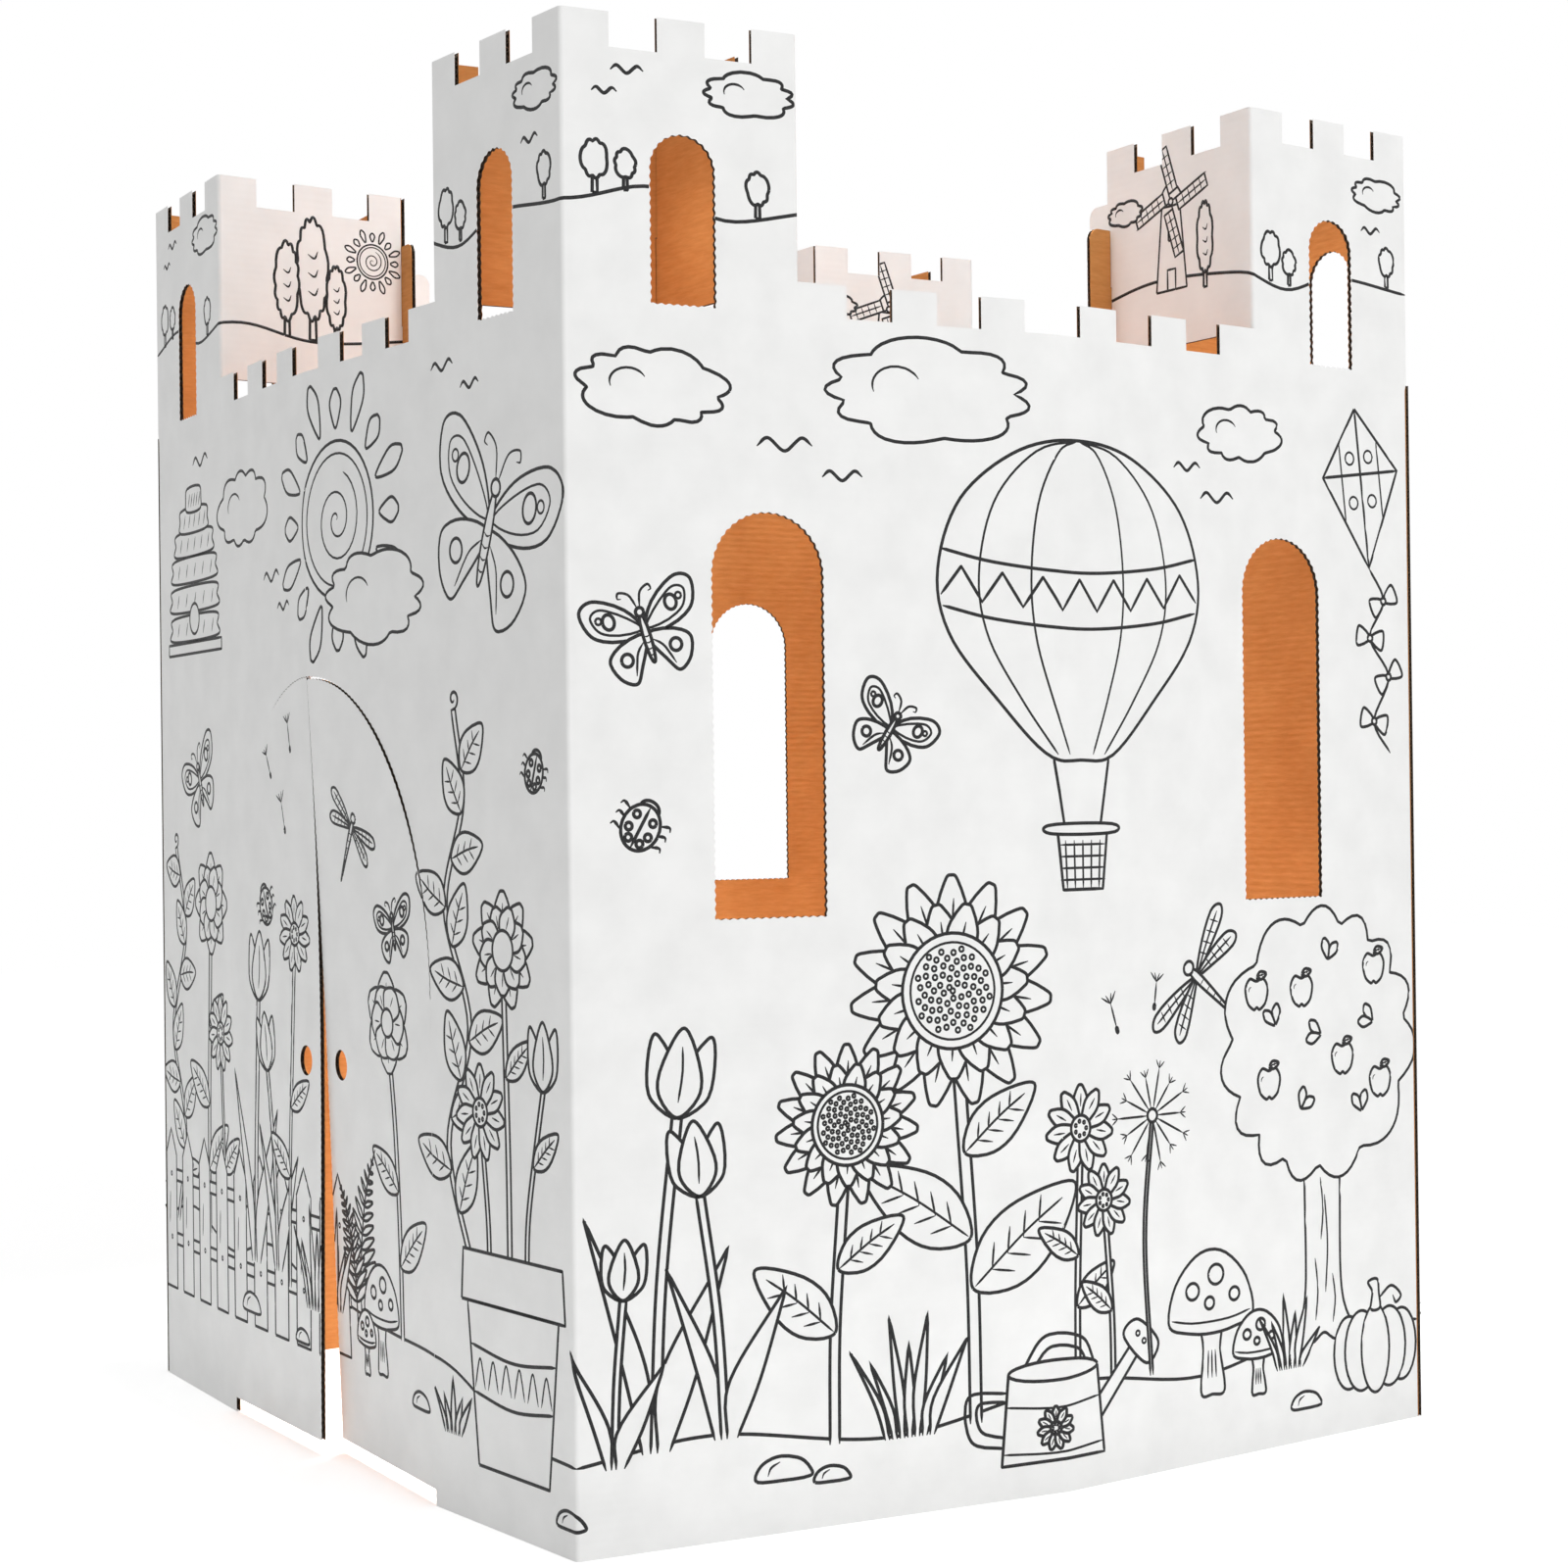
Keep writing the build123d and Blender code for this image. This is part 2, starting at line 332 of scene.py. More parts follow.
def clouded(name, size, detail, low, high, finish, fibre=0.0, ridges=0.0):
    """A matt paper or ink with clouds of a size between two colours. Its finish sets its shader.

    The fibre is the share of short level fibres in the pattern. The ridges are the strength of
    the flutes that show through a liner as faint level lines, over the paper's own tooth."""
    material = bpy.data.materials.new(name)
    material.use_nodes = True
    tree = material.node_tree
    tree.nodes.clear()
    point = add(tree, "ShaderNodeTexCoord").outputs["Object"]
    cloud = add(tree, "ShaderNodeTexNoise", inputs={"Vector": point, "Scale": per(size), "Detail": detail})
    pattern = cloud
    if fibre:
        stretched = add(tree, "ShaderNodeMapping", inputs={
            "Vector": point, "Scale": (per(fibre_length), per(fibre_length), per(fibre_width))})
        fibres = add(tree, "ShaderNodeTexNoise", inputs={
            "Vector": stretched, "Scale": 1.0, "Detail": 6.0, "Roughness": 0.65})
        mixed = add(tree, "ShaderNodeMix", {"data_type": "FLOAT"},
                    {"Factor": 1.0 - fibre, "A": fibres, "B": pattern})
        pattern = mixed
    colour = add(tree, "ShaderNodeValToRGB", inputs={"Fac": pattern})
    for stop, (position, shade) in zip(colour.color_ramp.elements, (low, high)):
        stop.position = position
        stop.color = linear(shade)
    shader = add(tree, "ShaderNodeBsdfPrincipled", inputs={"Base Color": colour, **finish})
    if ridges:
        split = add(tree, "ShaderNodeSeparateXYZ", inputs={"Vector": point})
        phase = add(tree, "ShaderNodeMath", {"operation": "MULTIPLY"},
                    {0: split.outputs["Z"], 1: math.tau * per(flute_pitch)})
        ridge = add(tree, "ShaderNodeMath", {"operation": "SINE"}, {0: phase})
        sway = add(tree, "ShaderNodeTexNoise",
                   inputs={"Vector": point, "Scale": per(sway_size), "Detail": 1.0})
        depth = add(tree, "ShaderNodeMath", {"operation": "MULTIPLY"},
                    {0: ridge, 1: sway})
        tooth = add(tree, "ShaderNodeTexNoise",
                    inputs={"Vector": point, "Scale": per(tooth_size), "Detail": 3.0})
        rough = add(tree, "ShaderNodeBump", inputs={
            "Strength": 0.25, "Distance": tooth_depth * MM, "Height": tooth})
        bump = add(tree, "ShaderNodeBump", inputs={
            "Strength": ridges, "Distance": ridge_depth * MM, "Height": depth,
            "Normal": rough})
        tree.links.new(bump.outputs["Normal"], shader.inputs["Normal"])
    add(tree, "ShaderNodeOutputMaterial", inputs={"Surface": shader})
    return material


# Bleached kraft liner: a smooth matt white paper, faintly clouded, for printing on
white_liner = clouded("bleached_kraft_liner", 38.46, 4.0, (0.3, "#EDEDEC"), (0.7, "#F4F4F3"),
                      {"Roughness": 0.62, "IOR": 1.45, "Specular IOR Level": 0.3}, ridges=0.12)

# Unbleached kraft liner: orange brown, with short level fibres and darker specks
kraft_liner = clouded("unbleached_kraft_liner", 71.4, 3.0, (0.32, "#BD7E44"), (0.68, "#D5985A"),
                      {"Roughness": 0.78, "IOR": 1.45, "Specular IOR Level": 0.2}, fibre=0.6, ridges=0.5)

# Recycled fluting paper: thin, grey brown and rough, seen only at cut edges. Its colour is darker than the
# paper's own: painted shade for the open flutes and the gaps between the liners at cut edges
fluting_with_painted_shade = clouded("fluting_paper_with_painted_shade", 2.5, 4.0, (0.35, "#4A3F36"), (0.65, "#6B5C4E"),
                        {"Roughness": 0.9, "Specular IOR Level": 0.1})

# Flexographic ink: a flat soft black that sinks into the paper, a little uneven
ink = clouded("flexo_ink", 2.86, 2.0, (0.35, "#1A1A1B"), (0.75, "#303031"),
              {"Roughness": 0.55, "Specular IOR Level": 0.25})


# How a flat point of a sheet lies in the castle


def clamped(part):
    return min(max(part, 0.0), 1.0)


class Path:
    """Board along plan points. Its flat points are a distance along its outer line and a height.

    The anchor gives the distance of one plan point. Folds are rounded corners, and eased folds
    end at the top of a glue tab. A crease is a pressed line: its distance and its top."""

    def __init__(self, points, anchor, folds=(), eased=(), creases=()):
        self.points = points
        self.folds = folds
        self.eased = eased
        self.creases = creases
        self.directions = [unit(b - a) for a, b in zip(points, points[1:])]
        starts = [0.0, *accumulate((b - a).length for a, b in zip(points, points[1:]))]
        index, distance = anchor
        self.starts = [start - starts[index] + distance for start in starts]

    def turn(self, index):
        return self.directions[index - 1].angle(self.directions[index])

    def radius(self, depth):
        """The radius of a fold's round at a depth under the outer face."""
        return fold_radius + (crease_radius - fold_radius) * depth / board

    def half_fold(self, index, depth):
        """How far from a fold its round begins, at a depth under the outer face."""
        return (depth + self.radius(depth)) * math.tan(self.turn(index) / 2.0)

    def bends(self, close=True):
        """The distances at which the board bends, close together or fewer for the fluting."""
        parts = (0.25, 0.5, 0.75, 1.0) if close else (0.5, 1.0)
        found = list(self.starts[1:-1])
        for index in self.folds:
            reaches = [self.half_fold(index, 0.0) * part for part in parts] + [self.half_fold(index, board)]
            for reach in reaches:
                found += [self.starts[index] - reach, self.starts[index] + reach]
        for centre, _ in self.creases:
            found += [centre - crease_reach, centre, centre + crease_reach]
        return sorted(set(round(distance, 4) for distance in found))

    def level_lines(self):
        """Short level lines between which an eased fold opens."""
        reach = 2.0 * fold_radius
        return [((self.starts[index] - reach, level), (self.starts[index] + reach, level))
                for index in self.eased for level in (glue_tab_top, glue_tab_top + fold_ease)]

    def straight(self, distance, depth):
        index = 0
        while index < len(self.directions) - 1 and distance >= self.starts[index + 1]:
            index += 1
        direction = self.directions[index]
        base = self.points[index] + direction * (distance - self.starts[index])
        return base - outward(direction) * depth

    def plan_point(self, distance, level, depth):
        for index in range(1, len(self.points) - 1):
            offset = distance - self.starts[index]
            before, after = self.directions[index - 1:index + 1]
            if index not in self.folds:
                if abs(offset) < 1e-3:
                    return self.points[index] - mitre(before, after) * depth
                continue
            reach = self.half_fold(index, depth)
            if abs(offset) >= reach:
                continue
            radius = self.radius(depth)
            centre = self.points[index] - mitre(before, after) * (depth + radius)
            angle = (offset + reach) / (2.0 * reach) * self.turn(index)
            curved = centre + turned(outward(before), angle) * radius
            if index in self.eased:
                opening = clamped((level - glue_tab_top) / fold_ease)
                curved = curved.lerp(self.opened(index, offset, depth), opening)
            return curved
        return self.straight(distance, depth)

    def opened(self, index, offset, depth):
        """A point beside an eased fold where its board is straight."""
        on_wall = self.directions[index] if index == self.eased[0] else self.directions[index - 1]
        return self.points[index] + on_wall * offset - outward(on_wall) * depth

    def point(self, distance, level, depth):
        if depth < liner:
            for centre, top in self.creases:
                if abs(distance - centre) < 1e-2 and level <= top:
                    depth += crease_dent
        return place(self.plan_point(distance, level, depth), level)


class Leaf:
    """A door leaf, pressed at its hinge. It twists from its lean at the floor into its wall."""

    def __init__(self, direction, side, lean, lift, bow):
        self.side = side
        self.lift = lift
        self.bow = bow
        self.hinge = door_crease - direction * side * door_half_width
        self.foot = turned(direction, math.radians(side * lean)) * side
        self.top = direction * side

    def bends(self, close=True):
        cells = round(door_half_width / leaf_cell / (1.0 if close else 2.0))
        runs = [crease_reach] + [door_half_width * i / cells for i in range(1, cells)]
        return sorted(half_wall - self.side * (door_half_width - run) for run in runs)

    def level_lines(self):
        ends = half_wall - self.side * (door_half_width + 1.0), half_wall + self.side
        levels = np.arange(leaf_cell, door_top, leaf_cell).tolist()
        return [((ends[0], level), (ends[1], level)) for level in levels]

    def point(self, distance, level, depth):
        run = door_half_width + self.side * (distance - half_wall)
        if run < 1e-2 and depth < liner:
            depth += crease_dent
        foot = self.hinge + self.foot * run - outward(self.foot * self.side) * depth
        top = self.hinge + self.top * run - outward(self.top * self.side) * depth
        opened = foot.lerp(top, level / door_top)
        return place(opened + outward(self.top * self.side) * self.proud(run, level), level)

    def proud(self, run, level):
        """How far the leaf stands out beside its arch, less how far it bows in along the slit."""
        up = clamped((level - door_spring + lift_reach) / lift_reach)
        across = clamped(run / lift_width)
        bulge = across * (1.0 - across)**2 / (4.0 / 27.0)
        bowed_in = math.sin(math.pi * clamped(level / door_top)**bow_rise) * (run / door_half_width)**2
        return self.lift * (0.5 - 0.5 * math.cos(math.pi * up)) * bulge - self.bow * bowed_in


# Flat outlines of (distance, height) points, counterclockwise


def arc(centre, radius, start, end, step):
    """Points along an arc, between two angles in degrees."""
    count = max(4, round(abs(math.radians(end - start)) * radius / step))
    angles = [math.radians(start + (end - start) * i / count) for i in range(count + 1)]
    return [(centre[0] + radius * math.cos(a), centre[1] + radius * math.sin(a)) for a in angles]


def lengths_along(points):
    """How far each point lies along a line."""
    return np.concatenate([[0.0], np.cumsum(np.hypot(*np.diff(points, axis=0).T))])


def points_at(points, places):
    """The points of a line at distances along it."""
    along = lengths_along(points)
    return np.stack([np.interp(places, along, points[:, k]) for k in (0, 1)], axis=1)


def waved(points, size):
    """An open line laid again as a cut of a wavy rule, with whole waves between its ends."""
    points = np.array(points)
    length = lengths_along(points)[-1]
    waves = max(1, round(length / wave_pitch))
    places = np.linspace(0.0, length, waves * wave_points + 1)
    cut = points_at(points, places)
    across = np.stack([-np.gradient(cut[:, 1]), np.gradient(cut[:, 0])], axis=1)
    across /= np.hypot(*across.T)[:, None]
    cut += across * (size * np.sin(math.tau * waves * places / length))[:, None]
    return [tuple(point) for point in cut.tolist()]


def window(centre, width, sill, rise):
    half = width / 2.0
    spring = sill + rise - half
    left, right = (centre - half, sill), (centre + half, sill)
    sides = [right, *arc((centre, spring), half, 0.0, 180.0, 1.0), left]
    return waved(sides, wave_height)[:-1] + waved([left, right], wave_height)[:-1]


def tower_window(middle):
    return window(middle, tower_window_width, tower_window_sill, tower_window_height)


def wall_window(middle):
    return window(middle, wall_window_width, wall_window_sill, wall_window_height)


def split_loop(loop, level):
    """The chains of a loop above and below a level, the first from right to left."""
    count = len(loop)
    rises = [i for i in range(count) if loop[i][1] < level <= loop[(i + 1) % count][1]]
    loop = loop[rises[0] + 1:] + loop[:rises[0] + 1]
    falls = next(i for i in range(count - 1) if loop[i][1] >= level > loop[i + 1][1])
    ends = []
    for a, b in ((loop[-1], loop[0]), (loop[falls], loop[falls + 1])):
        ends.append((a[0] + (b[0] - a[0]) * (level - a[1]) / (b[1] - a[1]), level))
    above = [ends[0]] + loop[:falls + 1] + [ends[1]]
    below = [ends[1]] + loop[falls + 1:] + [ends[0]]
    return above, below


def crenels(start, end, top, depth, cuts):
    """A top edge from right to left, without its ends, notched between pairs of distances."""
    return [(x, y) for left, right in sorted(cuts, reverse=True) if end < left and right < start
            for x, y in ((right, top), (right, top - depth), (left, top - depth), (left, top))]


def wall_top_edge(first, last):
    """The top edge of one wall between its two corners, from right to left, without its ends."""
    pair = 2.0 * wall_notch
    cuts = []
    for count in (1, 2):
        reach = tower_side + pair * count
        cuts.append((first + reach - wall_notch, first + reach))
        cuts.append((last - reach, last - reach + wall_notch))
    middle = tower_side + 2.0 * pair + wall_notch
    cuts.append((first + middle, last - middle))
    edge = split_loop(tower_window(last - tower_window_centre), wall_top)[1][::-1]
    edge += crenels(last, first, wall_top, wall_notch_depth, cuts)
    return edge + split_loop(tower_window(first + tower_window_centre), wall_top)[1][::-1]


def tower_cuts(zero, side):
    """The notches of a tower side or a flap, from its corner or its fold at zero."""
    spans = [(tower_notch, 2.0 * tower_notch), (3.0 * tower_notch, 4.0 * tower_notch)]
    return [tuple(sorted((zero + side * a, zero + side * b))) for a, b in spans]


def flap_edge(fold, cross, skew, side):
    """A flap's outline from its foot at the fold round its tab to its top at the fold.

    The side is 1 for a flap after its tower side, slotted from above, and -1 for one before."""
    end = cross + tab_length
    low = cross + min(skew, 0.0) - board / math.sqrt(1.0 - (skew / math.hypot(board, skew))**2)
    slot_start = low - slot_clearance
    slot_end = cross + max(skew, 0.0) + slot_clearance
    tab_top = low_tab_top if side > 0 else high_tab_top
    tab_end = arc((end - tab_radius, tab_top - tab_radius), tab_radius, 0.0, 90.0, 1.5)
    if side > 0:
        line = [(end, wall_top)] + tab_end
        line += [(slot_end, tab_top), (slot_end, slot_middle - slot_clearance)]
        line += [(slot_start, slot_middle - slot_clearance), (slot_start, height)]
    else:
        line = [(slot_start, wall_top), (slot_start, slot_middle + slot_clearance)]
        line += [(slot_end, slot_middle + slot_clearance), (slot_end, wall_top), (end, wall_top)]
        line += tab_end + [(cross, tab_top), (cross, height)]
    line += crenels(cross, 0.0, height, tower_notch_depth, tower_cuts(0.0, 1))
    return [(fold + side * x, y) for x, y in line]


def tower_edge(corner, before=None, after=None, start=0.0):
    """A tower with the flaps before and after its corner, each given by its cross and skew."""
    foot = []
    top = []
    if before:
        fold = corner - tower_side
        edge = flap_edge(fold, *before, -1)
        above = split_loop(tower_window(corner - tower_window_centre), wall_top)[0]
        foot += [(fold, wall_top)] + above[::-1]
        top_left = edge[::-1]
    if after:
        above = split_loop(tower_window(corner + tower_window_centre), wall_top)[0]
        foot += above[::-1] + [(corner + tower_side, wall_top)]
        foot += flap_edge(corner + tower_side, *after, 1)
        top += [(corner + tower_side, height)]
        top += crenels(corner + tower_side, corner, height, tower_notch_depth, tower_cuts(corner, 1))
    if not before:
        return [(corner + start, wall_top)] + foot + top + [(corner + start, height)]
    if not after:
        foot += [(corner - start, wall_top), (corner - start, height)]
    top += crenels(corner, corner - tower_side, height, tower_notch_depth, tower_cuts(corner, -1))
    return foot + top + [(corner - tower_side, height)] + top_left


# Cut patches of board


def tidy_loop(loop):
    """A closed loop without points that repeat their neighbour."""
    kept = [loop[0]]
    for point in loop[1:]:
        if math.dist(point, kept[-1]) > 1e-3:
            kept.append(point)
    return kept[:-1] if math.dist(kept[0], kept[-1]) < 1e-3 else kept


# Pairs of a point and an outline's side that are tested together
pairs_at_once = 2000000


def inside(points, loops):
    """Whether each point lies in the area between the loops, by counting crossings."""
    odd = np.zeros(len(points), bool)
    x, y = points[:, :1], points[:, 1:]
    at_once = max(1, pairs_at_once // max(1, len(points)))
    for loop in loops:
        starts = np.array(loop)
        ends = np.roll(starts, -1, axis=0)
        for first in range(0, len(starts), at_once):
            ax, ay = starts[first:first + at_once].T
            bx, by = ends[first:first + at_once].T
            rise = np.where(by == ay, 1.0, by - ay)
            crossed = ((ay <= y) != (by <= y)) & (ax + (bx - ax) * (y - ay) / rise < x)
            odd ^= crossed.sum(axis=1) % 2 == 1
    return odd


class Patch:
    """One flat cut piece of a sheet, with its holes, and how it lies in the castle."""

    def __init__(self, path, loop, holes=()):
        self.path = path
        self.loops = [tidy_loop(outline) for outline in (loop, *holes)]
        self.triangulate()

    def triangulate(self):
        points = [Vector(point) for loop in self.loops for point in loop]
        edges = []
        for loop in self.loops:
            start = len(edges)
            edges += [(start + i, start + (i + 1) % len(loop)) for i in range(len(loop))]
        low = min(point.y for point in points) - 1.0
        high = max(point.y for point in points) + 1.0
        bends = [((bend, low), (bend, high)) for bend in self.path.bends()]
        for ends in bends + self.path.level_lines():
            edges.append((len(points), len(points) + 1))
            points += [Vector(point) for point in ends]
        result = delaunay_2d_cdt(points, edges, [], 0, 1e-5, False)
        flat = np.array([tuple(point) for point in result[0]])
        faces = np.array([face for face in result[2] if len(face) == 3])
        faces = faces[inside(flat[faces].mean(axis=1), self.loops)]
        corners = flat[faces]
        sides = corners[:, 1:] - corners[:, :1]
        area = sides[:, 0, 0] * sides[:, 1, 1] - sides[:, 0, 1] * sides[:, 1, 0]
        faces[area < 0.0] = faces[area < 0.0][:, ::-1]
        used, renumbered = np.unique(faces, return_inverse=True)
        self.flat = flat[used].tolist()
        self.faces = renumbered.reshape(faces.shape).tolist()
        ways = {(face[i], face[(i + 1) % 3]) for face in self.faces for i in range(3)}
        self.rim = sorted(way for way in ways if way[::-1] not in ways)

    def spans(self, level):
        """The pairs of distances between which a level line runs in the patch."""
        found = []
        for loop in self.loops:
            for (ax, ay), (bx, by) in zip(loop, loop[1:] + loop[:1]):
                if min(ay, by) <= level < max(ay, by):
                    found.append(ax + (bx - ax) * (level - ay) / (by - ay))
        found.sort()
        return list(zip(found[::2], found[1::2]))


def ply(patches, top, bottom):
    """A closed mesh for one paper of the board, between two depths under the outer face.

    The parts tell of each face whether it is in the outer face, 0, the inner one, 1, or the rim, 2."""
    vertices = []
    faces = []
    parts = []
    for patch in patches:
        start = len(vertices)
        under = start + len(patch.flat)
        for depth in (top, bottom):
            vertices += [patch.path.point(x, y, depth) for x, y in patch.flat]
        faces += [tuple(start + i for i in face) for face in patch.faces]
        faces += [tuple(under + i for i in reversed(face)) for face in patch.faces]
        faces += [(start + b, start + a, under + a, under + b) for a, b in patch.rim]
        parts += [0] * len(patch.faces) + [1] * len(patch.faces) + [2] * len(patch.rim)
    return vertices, faces, parts


def new_piece(name, vertices, faces, edges=()):
    mesh = bpy.data.meshes.new(name)
    mesh.from_pydata(vertices, edges, faces)
    mesh.update()
    piece = bpy.data.objects.new(name, mesh)
    bpy.context.scene.collection.objects.link(piece)
    return piece


# Patches of the two sheets. Distances run on from wall to wall, counterclockwise.


class Tower:
    """A tower's corner, with the folds, crossing and skew of its two flaps."""

    def __init__(self, before_point, before, after_point, after):
        self.before = before
        self.after = after
        self.before_point = before_point
        self.after_point = after_point
        self.before_fold = before_point - before * tower_side
        self.after_fold = after_point + after * tower_side
        cross = meet(self.before_fold, after, self.after_fold, -before)
        cosine = before.dot(after)
        skew = board * cosine / math.sqrt(1.0 - cosine**2)
        self.before_flap = ((cross - self.before_fold).length, skew)
        self.after_flap = ((cross - self.after_fold).length, skew)

    def before_points(self):
        return [self.before_fold + self.after * flap_reach, self.before_fold, self.before_point]

    def after_points(self):
        return [self.after_point, self.after_fold, self.after_fold - self.before * flap_reach]

    def patch_before(self, corner, start=0.0):
        path = Path(self.before_points(), (2, corner), folds=(1,))
        return Patch(path, tower_edge(corner, before=self.before_flap, start=start))

    def patch_after(self, corner, start=0.0):
        path = Path(self.after_points(), (0, corner), folds=(1,))
        return Patch(path, tower_edge(corner, after=self.after_flap, start=start))

    def patch_both(self, corner):
        path = Path(self.before_points() + self.after_points()[1:], (2, corner), folds=(1, 2, 3))
        return Patch(path, tower_edge(corner, self.before_flap, self.after_flap))


left_tower = Tower(back_left, back_near_half, corner_left, door_left)
near_tower = Tower(corner_near, door_right, corner_near, window_near)
right_tower = Tower(corner_right, window_far, back_right, side_near)
far_tower = Tower(back_far, side_far, back_far, back_far_half)


def door_arch(half_width, rise):
    """The wavy arch of the door over its springing, from right to left."""
    waves = round(math.pi * (door_half_width + door_rise) / 2.0 / wave_pitch)
    angles = [math.pi * i / (waves * wave_points) for i in range(waves * wave_points + 1)]
    rules = [(angle, door_wave * math.sin(2.0 * waves * angle)) for angle in angles]
    return [(half_wall + (half_width + wave) * math.cos(angle), door_spring + (rise + wave) * math.sin(angle))
            for angle, wave in rules]


def slit_line(shift):
    """The wavy slit between the leaves from its top to its foot, moved sideways."""
    slit = waved([(half_wall, door_top), (half_wall, leaf_clearance)], door_wave)
    return [(x + shift, y) for x, y in slit]


def leaf_loop(side, arch_gap):
    """A leaf's outline. The side is 1 for the leaf at the left of the slit."""
    hinge = half_wall - side * door_half_width
    middle = half_wall - side * slit_gap / 2.0
    arch = [(x, y) for x, y in door_arch(door_half_width - arch_gap / 2.0, door_rise - arch_gap)
            if side * (middle - x) > 1.0]
    slit = [(x, y) for x, y in slit_line(-side * slit_gap / 2.0) if y < door_top - cut_gap - 1.0]
    foot = [(middle, leaf_clearance), (hinge, leaf_clearance), (hinge, door_spring)]
    if side > 0:
        return slit[::-1] + arch[:-1] + foot[:0:-1]
    return slit + foot[1:] + arch[1:]


def glue_tab(corner, side):
    """The outline of a glue tab from the floor up to the wall's top."""
    inner = glue_tab_width - glue_tab_chamfer
    outline = [(inner, 0.0), (glue_tab_width, glue_tab_chamfer),
               (glue_tab_width, glue_tab_top - glue_tab_chamfer), (inner, glue_tab_top),
               (0.0, glue_tab_top), (0.0, wall_top)]
    return [(corner + side * x, y) for x, y in outline]


def front_patches():
    first, middle, last = 0.0, wall_length, 2.0 * wall_length
    plan = [corner_left - back_near_half * glue_tab_width, corner_left, door_crease, corner_near,
            window_crease, corner_right, corner_right + side_near * glue_tab_width]
    hinges = half_wall - door_half_width, half_wall + door_half_width
    creases = [(half_wall, height), (middle + half_wall, height), *((x, door_spring) for x in hinges)]
    path = Path(plan, (1, first), folds=(1, 3, 5), eased=(1, 5), creases=creases)
    first_tab = glue_tab(first, -1)
    loop = [first_tab[0], (hinges[0], 0.0), (hinges[0], door_spring)]
    loop += door_arch(door_half_width, door_rise)[-2:0:-1]
    loop += [(hinges[1], door_spring), (hinges[1], 0.0), *glue_tab(last, 1)]
    loop += wall_top_edge(middle, last) + [(middle, wall_top)] + wall_top_edge(first, middle)
    loop += first_tab[:0:-1]
    holes = [wall_window(middle + wall_window_centre), wall_window(last - wall_window_centre)]
    patches = [Patch(path, loop, holes)]
    for side, direction, lean, arch_gap, lift, bow in (
            (1, door_left, far_leaf_lean, far_arch_gap, far_arch_lift, far_leaf_bow),
            (-1, door_right, near_leaf_lean, near_arch_gap, near_arch_lift, near_leaf_bow)):
        centre = (half_wall - side * finger_hole_inset, finger_hole_height)
        hole = arc(centre, finger_hole / 2.0, 0.0, 360.0, 2.0)[:-1]
        patches.append(Patch(Leaf(direction, side, lean, lift, bow), leaf_loop(side, arch_gap), [hole]))
    patches += [left_tower.patch_after(first), near_tower.patch_both(middle),
                right_tower.patch_before(last)]
    return patches


def back_patches():
    plan = [back_right, side_crease_out, back_far, back_crease_out, back_left]
    lengths = [(b - a).length for a, b in zip(plan, plan[1:])]
    first, middle, last = 0.0, lengths[0] + lengths[1], sum(lengths)
    creases = [(lengths[0], height), (middle + lengths[2], height)]
    path = Path(plan, (0, first), folds=(2,), creases=creases)
    loop = [(first + sheet_setback, 0.0), (last - sheet_setback, 0.0),
            (last - sheet_setback, relief_bottom), (last - relief_width, relief_bottom),
            (last - relief_width, wall_top)]
    loop += wall_top_edge(middle, last) + [(middle, wall_top)] + wall_top_edge(first, middle)
    loop += [(first + relief_width, wall_top), (first + relief_width, relief_bottom),
             (first + sheet_setback, relief_bottom)]
    holes = [wall_window(middle + wall_window_centre), wall_window(last - wall_window_centre)]
    return [Patch(path, loop, holes), right_tower.patch_after(first, relief_width),
            far_tower.patch_both(middle), left_tower.patch_before(last, relief_width)]


def keep_result(piece):
    """Turns what the modifiers make into a plain mesh."""
    depsgraph = bpy.context.evaluated_depsgraph_get()
    mesh = bpy.data.meshes.new_from_object(piece.evaluated_get(depsgraph), depsgraph=depsgraph)
    mesh.name = piece.name
    piece.modifiers.clear()
    piece.data = mesh


def hand_over(piece, node):
    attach(piece, "root")
    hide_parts(node)


sheets = {"front": front_patches(), "back": back_patches()}
for sheet_name, patches in sheets.items():
    node = f"{sheet_name}_sheet"
    for ply_name, top, bottom, material, glued_part, slot_name in (
            ("outer_liner", ink_depth, liner, white_liner, 1, "white_board"),
            ("inner_liner", board - liner, board, kraft_liner, 0, "brown_board")):
        vertices, faces, parts = ply(patches, top, bottom)
        piece = new_piece(f"{sheet_name}_{ply_name}", vertices, faces)
        piece.data.materials.append(material)
        piece.data.materials.append(fluting_with_painted_shade)
        # The liners' glued inner faces take the darkened fluting material: painted shade in the gap between
        # the liners at cut edges
        glued_face_painted_shade = [int(part == glued_part) for part in parts]
        piece.data.polygons.foreach_set("material_index", glued_face_painted_shade)
        hand_over(piece, node)


# Pieces that Geometry Nodes finish


def way_out(path, distance, level, outer, inner):
    """The direction out of the board at a flat point, between two depths."""
    way = Vector(path.point(distance, level, outer)) - Vector(path.point(distance, level, inner))
    return tuple(way.normalized())


def give(piece, name, kind, field, values):
    """Gives a piece a named value at each of its points."""
    attribute = piece.data.attributes.new(name, kind, "POINT")
    attribute.data.foreach_set(field, np.array(values, dtype=np.float32).ravel())


def new_tree(name, sizes):
    """A Geometry Nodes tree with a geometry, named sizes and a material as inputs, and its input node."""
    tree = bpy.data.node_groups.new(name, "GeometryNodeTree")
    tree.interface.new_socket("Geometry", in_out="INPUT", socket_type="NodeSocketGeometry")
    for size in sizes:
        tree.interface.new_socket(size, in_out="INPUT", socket_type="NodeSocketFloat")
    tree.interface.new_socket("Material", in_out="INPUT", socket_type="NodeSocketMaterial")
    tree.interface.new_socket("Geometry", in_out="OUTPUT", socket_type="NodeSocketGeometry")
    return tree, add(tree, "NodeGroupInput").outputs


